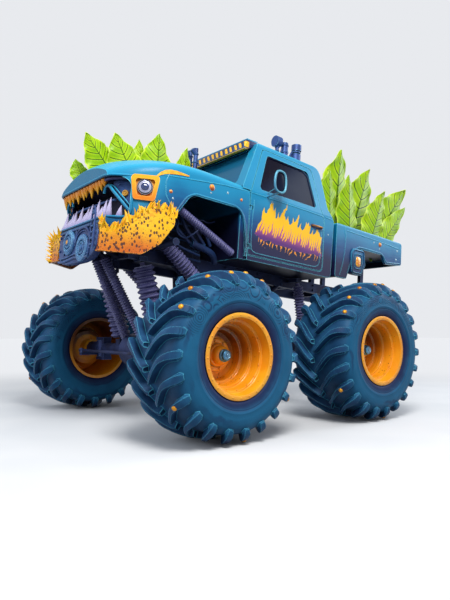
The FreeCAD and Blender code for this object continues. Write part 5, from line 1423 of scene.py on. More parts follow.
# ---- snout and chin guards -----------------------------------------------------------------------
# A winch-like cast unit hangs under the mouth: dark blue, with two drum caps and a strap clasp.
# Thick yellow plastic guards, spotted brown and fringed with spikes, cover the jaw's lower corners.
snout_steel = steel_finish("snout casting", (30, 52, 106), (42, 78, 140), (112, 184, 226), 0.42, 0.2)
SNOUT_FACE = 1.996
SNOUT_PLAN = [(-0.360, 1.830), (-0.330, 1.740), (-0.230, 1.672), (0.02, 1.652), (0.30, 1.652), (0.47, 1.668),
              (0.585, 1.720), (0.645, 1.800), (0.655, 1.95), (0.620, 2.040), (0.50, 2.062), (0.15, 2.056),
              (-0.24, 2.050), (-0.335, 2.020), (-0.365, 1.94)]
casting = panel("snout_casting", [on_body(SNOUT_FACE - 0.045, y, z) for y, z in SNOUT_PLAN], 0.090, 0.016)
fit(casting, "chassis", snout_steel)
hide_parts("snout")
# drum caps: y, z, radius, how far they stand out
CAPS = [(-0.040, 1.905, 0.118, 0.034), (0.335, 1.800, 0.120, 0.028)]
# out from a cap's foot to its middle, and round the collar behind it: share of the cap's radius, height
CAP_PROFILE = [(1.0, -0.004), (0.96, 0.0), (0.76, 0.0), (0.72, -0.006), (0.70, -0.018), (0.62, -0.016),
               (0.58, -0.002), (0.50, 0.002), (0.44, -0.002), (0.42, -0.010), (0.30, -0.010), (0.27, 0.002),
               (0.20, 0.008), (0.0, 0.010)]
COLLAR_PROFILE = [(0.98, -0.010), (1.24, -0.010), (1.27, 0.008), (1.20, 0.024), (0.98, 0.026)]
RIB_PROFILE = [(0.99, -0.016), (1.05, -0.014), (1.05, -0.004), (0.99, -0.002)]
snout_trim = []
snout_caps = []
cap_steel = steel_finish("snout cap", (38, 84, 140), (58, 122, 176), (150, 216, 236), 0.35, 0.2)
for y, z, radius, reach in CAPS:
    drum = [(radius, -reach - 0.01)] + [(radius * share, height) for share, height in CAP_PROFILE]
    cap = turned("cap", drum, 40)
    band = [(radius * share, height - reach) for share, height in COLLAR_PROFILE]
    collar = turned("collar", band, 48, closed=True)
    rib = turned("rib", [(radius * share, height) for share, height in RIB_PROFILE], 48, closed=True)
    studs = ring_of("studs", rivet("stud", 0.008, 0.006), 12, radius * 0.86, 0.0)
    for part in (cap, collar, rib, studs):
        snout_caps.append(stand(part, on_body(SNOUT_FACE + reach, y, z), FORWARD))
fit(together("snout_caps", snout_caps), "chassis", cap_steel)
# the strap clasp: a stepped plate with slots on its face and a rounded head over the lip
CLASP_Y = 0.610
for z in (1.80, 1.865, 1.93, 1.995, 2.06):
    bar = [
        (SNOUT_FACE + lift, CLASP_Y + step, z)
        for step, lift in ((-0.024, 0.036), (0.0, 0.040), (0.024, 0.036))
    ]
    snout_trim.append(body_tube("rib", bar, 0.010, 2))
CLASP_RIM = [(-0.036, 1.765), (-0.040, 2.02), (-0.034, 2.17), (0.0, 2.215), (0.034, 2.17), (0.040, 2.02),
             (0.036, 1.765)]
snout_trim.append(body_tube("rim", [(SNOUT_FACE + 0.030, CLASP_Y + step, z) for step, z in CLASP_RIM], 0.011))
clasp_boss = turned(
    "boss", [(0.026, -0.01), (0.026, 0.012), (0.020, 0.018), (0.012, 0.018), (0.010, 0.010), (0.0, 0.010)], 24
)
snout_trim.append(stand(clasp_boss, on_body(SNOUT_FACE + 0.026, CLASP_Y, 2.145), FORWARD))
# arched web over the caps, pipes along the foot and bolts round the face
ARCH = [(0.130, 1.88), (0.150, 1.965), (0.235, 2.022), (0.36, 2.030), (0.47, 1.985), (0.51, 1.90)]
for lift, thick in ((0.0, 0.013), (-0.034, 0.008)):
    snout_trim.append(body_tube("web", [(SNOUT_FACE + 0.008, y, z + lift) for y, z in ARCH], thick, 3))
snout_trim.append(
    body_tube(
        "web",
        [
            (SNOUT_FACE + 0.006, y, z)
            for y, z in ((0.455, 1.88), (0.505, 1.80), (0.50, 1.70), (0.43, 1.668))
        ],
        0.012
    )
)
for z, sag, thick in ((2.030, 0.0, 0.012), (1.700, -0.010, 0.014), (1.740, -0.012, 0.009)):
    places = [on_body(SNOUT_FACE + 0.010, y / 10, z - sag * math.sin(y)) for y in range(-3, 6)]
    snout_trim.append(tube("pipe", places, thick, 2))
for y, z in (
    (-0.31, 1.83), (-0.31, 1.99), (-0.17, 2.00), (0.14, 2.005), (0.14, 1.76), (-0.17, 1.78), (0.55, 1.86),
    (0.55, 2.00), (-0.24, 1.72), (0.40, 1.665)
):
    snout_trim.append(stand(bolt("stud", 0.034, 0.014), on_body(SNOUT_FACE, y, z), FORWARD))
fit(together("snout_trim", snout_trim), "chassis", snout_steel)
amber_core = turned(
    "amber_core", [(0.030, 0.0), (0.030, 0.010), (0.024, 0.017), (0.012, 0.021), (0.0, 0.022)], 24
)
stand(amber_core, on_body(SNOUT_FACE + 0.026, -0.040, 1.905), FORWARD)
fit(amber_core, "chassis", boss_brass)

guard_finish = Finish("spotted guard", coat_weight=0.15, coat_roughness=0.25, specular_ior_level=0.35)
guard_up = guard_finish.parts(guard_finish.about(BODY_PIVOT, LEVEL))[2] + RAKE_PIVOT_Z
guard_cloud = guard_finish.noise(5.0, 4.0)
spots = guard_finish.cells(31.0, vector=guard_finish.stretched(1.0, 1.0, 0.62)).rise(0.38, 0.29)
specks = guard_finish.cells(58.0).rise(0.30, 0.20) * guard_finish.noise(7.0, 2.0).rise(0.38, 0.46)
blotch = guard_finish.noise(11.0, 3.0).rise(0.56, 0.66)
guard_tint = guard_finish.mix(
    (guard_up + (guard_cloud - 0.5) * 0.25).rise(1.72, 2.08), srgb(206, 100, 10), srgb(254, 192, 12)
)
guard_tint = guard_finish.mix(blotch * 0.55, guard_tint, srgb(232, 126, 14))
# Painted shade on faces that look down, then a painted highlight along the edges.
guard_tint = guard_finish.mix(guard_finish.upward().rise(-0.2, -0.9) * 0.65, guard_tint, srgb(140, 60, 16))
guard_tint = guard_finish.mix(guard_finish.edge(0.012) * 0.6, guard_tint, srgb(255, 226, 92))
guard_tint = guard_finish.mix(spots * 0.94, guard_tint, srgb(66, 32, 30))
guard_tint = guard_finish.mix(specks * 0.75, guard_tint, srgb(104, 52, 20))
guard_finish.finished(guard_tint, guard_cloud * 0.25 + 0.38, guard_cloud - spots * 0.6, 0.004)
dress(["chin_guards"], guard_finish.material)

# Fringe of soft plastic spikes moulded along each guard's upper edge, with smaller ones below it.
spike_finish = Finish("fringe spike", coat_weight=0.15, coat_roughness=0.25, specular_ior_level=0.35)
spike_cloud = spike_finish.noise(24.0, 3.0)
spike_tint = spike_finish.mix(spike_cloud.rise(0.3, 0.7), srgb(250, 176, 8), srgb(255, 206, 24))
# Painted shade where the spikes crowd together and meet the guard.
spike_tint = spike_finish.mix(spike_finish.crevice(0.05).rise(0.4, 0.95) * 0.8, spike_tint, srgb(196, 92, 10))
spike_finish.finished(spike_tint, spike_cloud * 0.2 + 0.35, spike_cloud, 0.001)
FRINGE = [(1.262, 2.180), (1.290, 2.255), (1.360, 2.240), (1.440, 2.262), (1.530, 2.255), (1.600, 2.205),
          (1.680, 2.130), (1.750, 2.085), (1.800, 2.010), (1.880, 1.965), (1.930, 1.960)]
shaker = random.Random(5)


def spike(name, length, width):
    """Curved thorn about +Z with a three-sided keel, foot at the origin."""
    thorn = turned(name, [(width, -0.012), (width * 0.92, 0.0), (width * 0.70, length * 0.30),
                          (width * 0.42, length * 0.62), (width * 0.16, length * 0.88), (0.0, length)], 7)
    for point in thorn.data.vertices:
        point.co.x += 0.22 * length * (max(0.0, point.co.z) / length) ** 2
        point.co.y *= 0.62
    return thorn


UPRIGHT = (on_body(0, 0, 3) - on_body(0, 0, 2)).normalized()


def spikes_on(node, places, sizes, lean, seedling):
    """Thorns rooted in a guard's skin near each place: up the body, with a share of the skin's facing."""
    thorns = []
    for place in places:
        _, spot, facing, _ = nodes[node].closest_point_on_mesh(place)
        wander = Vector([seedling.uniform(-reach, reach) for reach in (0.35, 0.35, 0.2)])
        way = (UPRIGHT * (1 - lean) + facing * lean + wander * 0.8).normalized()
        length = seedling.uniform(*sizes)
        thorn = spike("thorn", length, length * seedling.uniform(0.18, 0.26))
        thorn.data.transform(Matrix.Rotation(seedling.uniform(0, 2 * math.pi), 4, "Z"))
        thorns.append(stand(thorn, spot - facing * 0.012, way))
    return thorns


thorns = []
for side in (1, -1):
    edge_places = []
    for x, z in along_route(FRINGE, 0.028):
        edge_places.append(on_side("chin_guards", x, z - 0.012, side)[0])
    thorns += spikes_on("chin_guards", edge_places, (0.055, 0.125), 0.25, shaker)
    lower_places = [on_side("chin_guards", x, z - 0.055, side)[0] for x, z in along_route(FRINGE, 0.055)]
    thorns += spikes_on("chin_guards", lower_places, (0.035, 0.075), 0.55, shaker)
# the front edges of both guards, beside the snout: y from, y to, how many thorns
GUARD_FACE = 1.985
for y_from, y_to, count in ((0.665, 0.76, 6), (-0.375, -0.70, 14)):
    front_places = []
    for i in range(count):
        share = i / (count - 1)
        front_places.append(on_body(GUARD_FACE, y_from + (y_to - y_from) * share, 2.045 - 0.05 * share))
    thorns += spikes_on("chin_guards", front_places, (0.07, 0.14), 0.35, shaker)
tuft_places = [on_body(GUARD_FACE, -0.64 - 0.05 * (i % 2), 2.02 - 0.022 * i) for i in range(14)]
for place in tuft_places:
    _, spot, facing, _ = nodes["chin_guards"].closest_point_on_mesh(place)
    way = Vector((0.25, -0.8, 0.35)) + Vector((shaker.uniform(-0.2, 0.2), 0.0, shaker.uniform(-0.3, 0.3)))
    thorns.append(stand(spike("thorn", shaker.uniform(0.07, 0.12), 0.022), spot - facing * 0.01, way))
fit(together("guard_fringe", thorns), "chassis", spike_finish.material)
# The side pods in the rear arches: a rolled rim, a sunk frame and a ribbed amber lens in each.
amber_lens = Finish("amber lens", roughness=0.12, coat_weight=0.6, coat_roughness=0.05)
lens_rows = (amber_lens.parts()[2] * 260).sine() * 0.5 + 0.5
lens_glow = amber_lens.noise(22.0, 3.0)
lens_tone = amber_lens.mix(lens_glow.rise(0.35, 0.62), srgb(226, 104, 8), srgb(255, 190, 40))
lens_tone = amber_lens.mix(lens_rows.rise(0.75, 1.0) * 0.5, lens_tone, srgb(150, 60, 10))
amber_lens.finished(lens_tone, lens_glow * 0.1 + 0.08, lens_rows, 0.0015)
POD_FACE = 0.988
POD_CENTRE = (-1.876, 2.228)
POD_RIM = [(-1.745, 2.325), (-1.775, 2.392), (-1.99, 2.392), (-2.018, 2.20), (-1.945, 2.062), (-1.755, 2.062)]
POD_FRAME = [
    (-1.790, 2.29), (-1.815, 2.335), (-1.945, 2.332), (-1.965, 2.21), (-1.925, 2.125), (-1.795, 2.125)
]
for side, hand in ((1, "left"), (-1, "right")):
    rims = []
    for outline, out, thick in ((POD_RIM, 0.0, 0.012), (POD_FRAME, 0.002, 0.009)):
        places = [on_body(x, side * (POD_FACE + out), z) for x, z in along_route(outline + outline[:1], 0.05)]
        rims.append(tube("rim", places[:-1], thick, 3, closed=True))
    fit(together("pod_rims_" + hand, rims), "chassis", body_paint)
    bpy.ops.object.select_all(action="DESELECT")
    bpy.ops.mesh.primitive_uv_sphere_add(segments=32, ring_count=16, radius=1.0)
    lens = named("pod_lens_" + hand)
    for point in lens.data.vertices:
        wide = math.copysign(abs(point.co.x) ** 0.6, point.co.x) * 0.055
        tall = math.copysign(abs(point.co.z) ** 0.6, point.co.z) * 0.075
        out = side * (POD_FACE - 0.004) + point.co.y * 0.022
        point.co = on_body(POD_CENTRE[0] + wide, out, POD_CENTRE[1] + tall)
    fit(lens, "chassis", amber_lens.material)

# ---- leaf crests ---------------------------------------------------------------------------------
# Moulded plastic leaves, yellow-green, bolted upright in a pad on the bonnet and in a tray in the bed.
# Each blade is folded along its midrib, ribbed with side veins, thin at its pale, slightly wavy edge.
# columns: foot x, y, z, tip x, y, z, width
FRONT_LEAVES = [
    (1.780, -0.350, 2.740, 1.900, -0.380, 3.010, 0.190),
    (1.440, -0.060, 2.720, 1.940, -0.060, 3.240, 0.340),
    (1.240, 0.040, 2.720, 1.600, 0.000, 3.330, 0.380),
    (1.130, -0.060, 2.720, 1.230, -0.060, 3.380, 0.220),
    (0.980, 0.030, 2.700, 0.980, 0.000, 3.520, 0.380),
    (0.830, -0.080, 2.700, 0.790, -0.110, 3.300, 0.240),
    (0.700, 0.000, 2.740, 0.690, 0.000, 3.160, 0.200),
    (0.560, -0.060, 2.720, 0.500, -0.080, 3.500, 0.230),
]
REAR_LEAVES = [
    (-1.560, 0.700, 2.500, -1.450, 0.740, 3.560, 0.340),
    (-1.700, 0.640, 2.500, -1.700, 0.740, 3.922, 0.560),
    (-1.960, 0.740, 2.500, -1.830, 0.790, 3.560, 0.360),
    (-2.120, 0.585, 2.500, -2.440, 0.690, 3.840, 0.580),
    (-2.350, 0.785, 2.500, -2.640, 0.835, 3.500, 0.380),
    (-2.520, 0.640, 2.500, -3.318, 0.760, 3.714, 0.520),
    (-2.600, 0.740, 2.500, -3.290, 0.790, 3.400, 0.300),
    (-2.000, 0.420, 2.500, -2.080, 0.470, 3.750, 0.480),
    (-2.460, 0.345, 2.500, -2.880, 0.385, 3.600, 0.480),
]

LEAF_SPREAD = 1.28  # how much wider a moulded leaf is than its plain core
LEAF_THICK = 0.008
VEINS = 9  # pairs of side veins in a leaf
VEIN_SLANT = 1.6


def blade_half(share):
    """Half width of a leaf along its length, as a share of its widest."""
    if share < 0.42:
        return 0.55 + 0.45 * math.sin(share / 0.42 * math.pi / 2)
    return max(0.0, math.cos((share - 0.42) / 0.58 * math.pi / 2)) ** 0.95


def leaf(name, row, seed):
    """One blade from foot to tip: folded at the midrib, veined, bowed one way or the other by its seed."""
    foot, tip, width = Vector(row[0:3]), Vector(row[3:6]), row[6] * LEAF_SPREAD
    along = tip - foot
    length = along.length
    along.normalize()
    across = along.cross(Vector((0, 1, 0))).normalized()
    aside = across.cross(along).normalized()
    long_steps, wide_steps = 48, 16
    bpy.ops.object.select_all(action="DESELECT")
    bpy.ops.mesh.primitive_grid_add(x_subdivisions=wide_steps, y_subdivisions=long_steps, size=2.0)
    blade = named(name)
    veins = blade.data.uv_layers[0] if blade.data.uv_layers else blade.data.uv_layers.new()
    for point in blade.data.vertices:
        u, share = point.co.x, (point.co.y + 1) / 2
        half = blade_half(share) * width / 2
        ripple = 0.012 * math.sin(share * 26 + seed) * abs(u) ** 3 * width / 0.3
        notch = 1 + 0.06 * ((share * 11 + seed) % 1.0 - 0.5) * (1 if abs(u) > 0.95 else 0)
        fold = abs(u) * half * 0.26
        vein_line = (share * VEINS - abs(u) * VEIN_SLANT) % 1.0
        vein = 0.0035 * math.exp(-((vein_line - 0.5) / 0.13) ** 2) * (1 - abs(u)) * (1 - share)
        rib = 0.006 * math.exp(-(u / 0.07) ** 2) * (1 - share)
        bow = 0.03 * length * math.sin(share * math.pi) * (0.6 if seed % 2 else -0.6)
        place = foot + along * (share * length) + across * (u * half * notch)
        place += aside * (bow * 0.35 - fold + ripple + vein + rib)
        point.co = on_body(*place)
    for loop in blade.data.loops:
        corner = loop.vertex_index
        grid_x, grid_y = corner % (wide_steps + 1), corner // (wide_steps + 1)
        veins.data[loop.index].uv = (grid_x / wide_steps, grid_y / long_steps)
    return thicken(blade, LEAF_THICK)


leaf_finish = Finish("leaf plastic", specular_ior_level=0.2, coat_weight=0.08, coat_roughness=0.25)
leaf_map = leaf_finish.node("ShaderNodeUVMap").outputs["UV"]
leaf_across, leaf_along, _ = leaf_finish.parts(leaf_map)
off_rib = (leaf_across - 0.5).size() * 2
vein_phase = (leaf_along * VEINS - off_rib * VEIN_SLANT).math("FRACT")
vein_wave = (vein_phase - 0.5).size()
leaf_cloud = leaf_finish.noise(6.0, 4.0)
vein_dark = vein_wave.rise(0.10, 0.03) * off_rib.rise(0.92, 0.75)
rib_dark = off_rib.rise(0.05, 0.015)
between = vein_wave.rise(0.0, 0.5)
leaf_foot = (leaf_along + (leaf_cloud - 0.5) * 0.3).rise(0.42, 0.0)
leaf_tint = leaf_finish.mix(leaf_cloud.rise(0.3, 0.7), srgb(150, 196, 6), srgb(190, 220, 14))
leaf_tint = leaf_finish.mix(between * 0.5, leaf_tint, srgb(104, 156, 4))
leaf_tint = leaf_finish.mix(leaf_foot * 0.75, leaf_tint, srgb(78, 134, 10))
leaf_tint = leaf_finish.mix(vein_dark * 0.95, leaf_tint, srgb(28, 62, 4))
leaf_tint = leaf_finish.mix(rib_dark * 0.9, leaf_tint, srgb(40, 80, 4))
leaf_tint = leaf_finish.mix(off_rib.rise(0.90, 0.98) * 0.8, leaf_tint, srgb(216, 234, 84))
leaf_relief = leaf_finish.noise(40.0, 3.0) - vein_dark
leaf_green = leaf_finish.finished(leaf_tint, leaf_cloud * 0.2 + 0.3, leaf_relief, 0.002)

front_blades = [leaf("leaf", row, i) for i, row in enumerate(FRONT_LEAVES)]
rear_blades = [leaf("leaf", row, i + 3) for i, row in enumerate(REAR_LEAVES)]
rear_blades += [twin(blade, MIRROR) for blade in rear_blades]
for name, blades, node in (
    ("bonnet_leaves", front_blades, "crest_front"),
    ("bed_leaves", rear_blades, "crest_rear"),
):
    crest = together(name, blades)
    fit(crest, "chassis", leaf_green)
    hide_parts(node)


# The bonnet leaves stand in a moulded strip that follows the bonnet; the bed's stand in a ribbed tray.
moss_plastic = steel_finish("leaf socket", (44, 78, 20), (70, 112, 22), (150, 190, 60), 0.5, 0.0)


def on_bonnet(x, y, lift):
    _, spot, facing, _ = nodes["front_clip"].ray_cast(on_body(x, y, 3.6), -UPRIGHT)
    return spot + facing * lift


PAD_BACK = 0.44
PAD_LENGTH = 1.26
PAD_BEND = 1.62  # from here on the pad narrows
bpy.ops.object.select_all(action="DESELECT")
bpy.ops.mesh.primitive_grid_add(x_subdivisions=44, y_subdivisions=10, size=2.0)
pad = named("leaf_pad")
for point in pad.data.vertices:
    x = PAD_BACK + (point.co.x + 1) / 2 * PAD_LENGTH
    bend = max(0.0, x - PAD_BEND) / 0.22
    y = -0.015 + point.co.y * 0.145 * (1 - 0.1 * bend)
    rib = 0.0022 * math.cos((x - PAD_BACK) * 52)
    point.co = on_bonnet(x, y, 0.008 + rib) if abs(point.co.y) < 0.99 else on_bonnet(x, y, 0.001)
fit(outward(thicken(pad, 0.010, offset=-1.0)), "chassis", moss_plastic)
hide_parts("crest_front")
BED_FLOOR = 2.485
TRAY_X = (-2.850, -1.500)
TRAY_HALF = 0.885
TRAY_RIBS = 13
tray_corners = (
    (TRAY_X[0], -TRAY_HALF), (TRAY_X[1], -TRAY_HALF), (TRAY_X[1], TRAY_HALF), (TRAY_X[0], TRAY_HALF)
)
tray_parts = [panel("leaf_tray", [on_body(x, y, BED_FLOOR + 0.035) for x, y in tray_corners], 0.060, 0.012)]
for i in range(TRAY_RIBS):
    x = TRAY_X[0] + 0.06 + i * 0.1025
    rib = [
        (x, -TRAY_HALF + 0.04, BED_FLOOR + 0.066), (x, 0, BED_FLOOR + 0.068),
        (x, TRAY_HALF - 0.04, BED_FLOOR + 0.066)
    ]
    tray_parts.append(body_tube("rib", rib, 0.010, 2))
fit(together("leaf_tray", tray_parts), "chassis", moss_plastic)
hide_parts("crest_rear")

# ---- roof: visor, horns and stacks ---------------------------------------------------------------
# A moulded visor hangs over the windscreen on five short stays: navy, with a rolled lower edge in gold
# and plain slanting slashes painted across its face.
VISOR_HALF = 0.735
VISOR_SIDE = [(-0.060, 3.526), (0.100, 3.520), (0.148, 3.492), (0.158, 3.392), (0.120, 3.376), (0.0, 3.440)]
visor_finish = Finish("visor paint", roughness=0.35, coat_weight=0.3, coat_roughness=0.15)
visor_along, visor_aside, visor_up = visor_finish.parts(visor_finish.about(BODY_PIVOT, LEVEL))
visor_up = visor_up + RAKE_PIVOT_Z
slant = visor_aside + (visor_up - 3.44) * 0.5 + (visor_finish.noise(9.0, 2.0) - 0.5) * 0.04
slash = (slant * (math.pi / 0.098)).sine().size().rise(0.72, 0.82) * (visor_up - 3.402).rise(0.0, 0.006)
slash = slash * (3.482 - visor_up).rise(0.0, 0.006) * visor_along.rise(0.08, 0.11)
small_slash = (slant * (math.pi / 0.049) + 0.6).sine().size().rise(0.86, 0.93)
small_slash = small_slash * (3.462 - visor_up).rise(0.0, 0.02)
visor_cloud = visor_finish.noise(6.0, 4.0)
visor_tint = visor_finish.mix(visor_cloud.rise(0.3, 0.7), srgb(20, 28, 70), srgb(30, 50, 104))
visor_tint = visor_finish.mix((visor_up - 3.500).rise(0.0, 0.008), visor_tint, srgb(24, 140, 180))
visor_tint = visor_finish.mix(
    small_slash * visor_along.rise(0.08, 0.11) * 0.6, visor_tint, srgb(54, 110, 166)
)
visor_tint = visor_finish.mix(slash, visor_tint, srgb(250, 190, 16))
visor_tint = visor_finish.mix((3.392 - visor_up).rise(0.0, 0.004), visor_tint, srgb(214, 158, 30))
# Painted highlight along the edges.
visor_tint = visor_finish.mix(visor_finish.edge(0.008) * 0.6, visor_tint, srgb(120, 214, 236))
visor_finish.finished(visor_tint, visor_cloud * 0.2 + 0.28, visor_cloud, 0.001)
bpy.ops.object.select_all(action="DESELECT")
bpy.ops.mesh.primitive_circle_add(vertices=len(VISOR_SIDE), radius=1.0, fill_type="NGON")
visor = named("visor")
for point, (x, z) in zip(visor.data.vertices, VISOR_SIDE):
    point.co = on_body(x, -VISOR_HALF, z)
bpy.ops.object.mode_set(mode="EDIT")
bpy.ops.mesh.select_all(action="SELECT")
bpy.ops.mesh.extrude_region_move(TRANSFORM_OT_translate={"value": (0.0, 2 * VISOR_HALF, 0.0)})
bpy.ops.object.mode_set(mode="OBJECT")
visor_parts = [soften(outward(visor), 0.008, 3)]
# rolled edges: x, z, radius
for x, z, radius in ((0.146, 3.388, 0.010), (0.118, 3.516, 0.008)):
    roll = [(x, y, z) for y in (-VISOR_HALF, -0.36, 0.0, 0.36, VISOR_HALF)]
    visor_parts.append(body_tube("roll", roll, radius))
for y in (-0.66, -0.33, 0.0, 0.33, 0.66):
    visor_parts.append(body_tube("stay", [(0.02, y, 3.524), (0.07, y, 3.530), (0.128, y, 3.512)], 0.010, 2))
visor = together("visor", visor_parts)
fit(visor, "chassis", visor_finish.material)
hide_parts("roof_visor")

# Horns and stacks: welded tube with rolled bands, painted the chassis colour, darker inside their mouths
# where painted shade falls.
horn_steel = steel_finish("horn steel", (30, 50, 100), (48, 78, 138), (120, 196, 226), 0.35, 0.4)
roof_trim = []


def bands(x, y, radius, heights, across=0.010):
    """Rolled bands round an upright tube."""
    ring = []
    for z in heights:
        hoop = turned(
            "band",
            [
                (radius - 0.004, -across), (radius + 0.007, -across * 0.8), (radius + 0.010, 0.0),
                (radius + 0.007, across * 0.8), (radius - 0.004, across)
            ],
            32, closed=True
        )
        ring.append(stand(hoop, on_body(x, y, z), UPRIGHT))
    return ring


HORN_Y = 0.600
trumpet = turned(
    "trumpet",
    [
        (0.030, -0.060), (0.040, -0.040), (0.052, -0.010), (0.060, 0.020), (0.066, 0.040), (0.071, 0.046),
        (0.070, 0.050), (0.062, 0.048), (0.052, 0.030), (0.036, 0.0), (0.020, -0.030), (0.0, -0.034)
    ],
    36
)
roof_trim.append(stand(trumpet, on_body(-0.520, HORN_Y, 3.700), FORWARD))
roof_trim += bands(-0.520, HORN_Y, 0.026, (3.50, 3.58, 3.64))
roof_trim += bands(-0.660, HORN_Y, 0.048, (3.50, 3.60, 3.70), 0.013)
roof_trim += bands(-0.880, HORN_Y, 0.060, (3.49, 3.55, 3.66), 0.013)
roof_trim.append(
    body_tube(
        "pipe",
        [(-0.535, HORN_Y, 3.50), (-0.59, HORN_Y, 3.56), (-0.61, HORN_Y, 3.66), (-0.655, HORN_Y, 3.70)],
        0.012
    )
)
roof_trim.append(
    body_tube(
        "pipe",
        [(-0.70, HORN_Y, 3.49), (-0.76, HORN_Y, 3.55), (-0.80, HORN_Y, 3.66), (-0.86, HORN_Y, 3.68)],
        0.014
    )
)
fit(together("horn_trim", roof_trim), "chassis", horn_steel)
dress(["roof_horns", "intake_stacks"], horn_steel)
stack_trim = []
for y in (-0.130, 0.0):
    stack_trim += bands(0.400, y, 0.030, (2.95, 3.06, 3.16, 3.30, 3.42))
    stack_trim.append(
        body_tube("strap", [(0.400, y - 0.04, 3.00), (0.434, y, 3.00), (0.400, y + 0.04, 3.00)], 0.006, 2)
    )
fit(together("stack_trim", stack_trim), "chassis", horn_steel)

# Door mirrors: a loop of bent tube on two stalks, with its glass set in it.
mirror_steel = steel_finish("mirror tube", (60, 128, 160), (96, 170, 196), (190, 236, 244), 0.3, 0.3)
MIRROR_LOOP = [
    (-0.020, 2.80), (-0.006, 2.93), (-0.030, 3.032), (-0.100, 3.052), (-0.176, 3.032), (-0.200, 2.93),
    (-0.188, 2.80), (-0.100, 2.772)
]
for side, hand in ((1, "left"), (-1, "right")):
    loop = [on_body(x, side * 1.150, z) for x, z in MIRROR_LOOP]
    parts = [tube("loop", loop, 0.015, 4, closed=True)]
    parts.append(
        body_tube(
            "stalk",
            [(-0.060, side * 0.940, 2.735), (-0.064, side * 1.04, 2.760), (-0.100, side * 1.150, 2.776)],
            0.010
        )
    )
    parts.append(
        body_tube(
            "stalk",
            [(-0.060, side * 0.945, 2.775), (-0.09, side * 1.05, 2.86), (-0.190, side * 1.146, 2.90)],
            0.006
        )
    )
    inside = [on_body(x * 0.92 - 0.008, side * 1.146, z * 0.92 + 0.233) for x, z in MIRROR_LOOP]
    glass = panel("mirror_glass_" + hand, inside, 0.006, 0.001)
    fit(together("mirror_loop_" + hand, parts), "door_" + hand + "_leaf", mirror_steel)
    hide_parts("mirror_" + hand)
    fit(glass, "door_" + hand + "_leaf", door_pane)

# ---- cab inside: seats, dashboard and wheel ------------------------------------------------------
# Two padded bucket seats: vinyl over foam, stitched in flutes, on plain steel bases.
vinyl = Finish("seat vinyl", roughness=0.5, coat_weight=0.15, coat_roughness=0.3)
grain = vinyl.cells(160.0)
vinyl_tint = vinyl.mix(vinyl.noise(5.0, 3.0).rise(0.3, 0.7), srgb(34, 34, 66), srgb(52, 54, 92))
# Painted shade in the creases between flutes and cushions.
vinyl_tint = vinyl.mix(vinyl.crevice(0.02).rise(0.3, 0.9) * 0.7, vinyl_tint, srgb(14, 14, 34))
vinyl.finished(vinyl_tint, grain * 0.3 + 0.35, grain, 0.0006)


def cushion(name, size, bulge):
    """Padded block: its faces swell, and rows of stitched flutes run across it."""
    bpy.ops.object.select_all(action="DESELECT")
    bpy.ops.mesh.primitive_cube_add(size=1.0)
    pad = named(name)
    bpy.ops.object.mode_set(mode="EDIT")
    bpy.ops.mesh.select_all(action="SELECT")
    bpy.ops.mesh.subdivide(number_cuts=15)
    bpy.ops.object.mode_set(mode="OBJECT")
    for point in pad.data.vertices:
        u, v, w = (2 * c for c in point.co)
        pull = 1 - 0.10 * (abs(u * v) ** 3 + abs(v * w) ** 3 + abs(u * w) ** 3)
        flute = 0.010 * abs(math.sin(v * math.pi * 2.5)) * (1 if abs(w) > 0.97 and abs(v) < 0.97 else 0)
        rise = bulge * (1 - u * u) * (1 - v * v) * w + math.copysign(flute, w)
        point.co = (u * size[0] / 2 * pull, v * size[1] / 2 * pull, w * size[2] / 2 * pull + rise)
    pick(pad)
    smooth = pad.modifiers.new("padding", "SUBSURF")
    smooth.levels = smooth.render_levels = 1
    bpy.ops.object.modifier_apply(modifier=smooth.name)
    return pad


BACK_LEAN = math.radians(-13)
SEAT_Y = 0.39
CAB_FLOOR = 1.966
for side, hand in ((1, "left"), (-1, "right")):
    base = cushion("base", (0.42, 0.47, 0.15), 0.018)
    base.data.transform(Matrix.Translation((-0.700, side * SEAT_Y, 2.175)))
    rest = cushion("rest", (0.52, 0.45, 0.13), 0.016)
    rest.data.transform(Matrix.Rotation(math.pi / 2 + BACK_LEAN, 4, "Y").inverted())
    rest.data.transform(Matrix.Translation((-0.985, side * SEAT_Y, 2.50)))
    seat = together("seat_" + hand, [base, rest])
    for point in seat.data.vertices:
        point.co = on_body(*point.co)
    fit(seat, "chassis", vinyl.material)
    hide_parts("seats")
    frame_tubes = []
    for y in (0.22, 0.56):
        frame_tubes.append(
            body_tube(
                "runner",
                [
                    (-0.97, side * y, CAB_FLOOR), (-0.75, side * y, CAB_FLOOR),
                    (-0.53, side * y, CAB_FLOOR)
                ],
                0.014
            )
        )
        for x in (-0.93, -0.57):
            frame_tubes.append(
                body_tube(
                    "leg", [(x, side * y, CAB_FLOOR), (x + 0.02, side * y, 2.03), (x, side * y, 2.11)],
                    0.016
                )
            )
    fit(together("seat_frame_" + hand, frame_tubes), "chassis", seal_rubber)

# Dashboard dressing: a dark skin, round pale gauges with raised rims, and the steering wheel's grip.
dash_skin = steel_finish("dash skin", (26, 28, 56), (40, 44, 80), (96, 120, 170), 0.5, 0.1)
dress(["dashboard"], dash_skin)
gauge_parts = []
for y, radius in ((0.50, 0.050), (0.38, 0.062), (0.26, 0.050), (0.10, 0.036), (0.0, 0.036)):
    dial = turned("dial", [(radius, -0.01), (radius, 0.006), (radius * 0.92, 0.010), (radius * 0.86, 0.004),
                           (0.0, 0.003)], 32)
    gauge_parts.append(stand(dial, on_body(0.040, y, 2.665), -FORWARD))
fit(together("gauges", gauge_parts), "chassis", ring_white)
grip = steel_finish("wheel grip", (20, 20, 34), (34, 36, 56), (90, 110, 150), 0.55, 0.0)
dress(["steering_wheel"], grip)

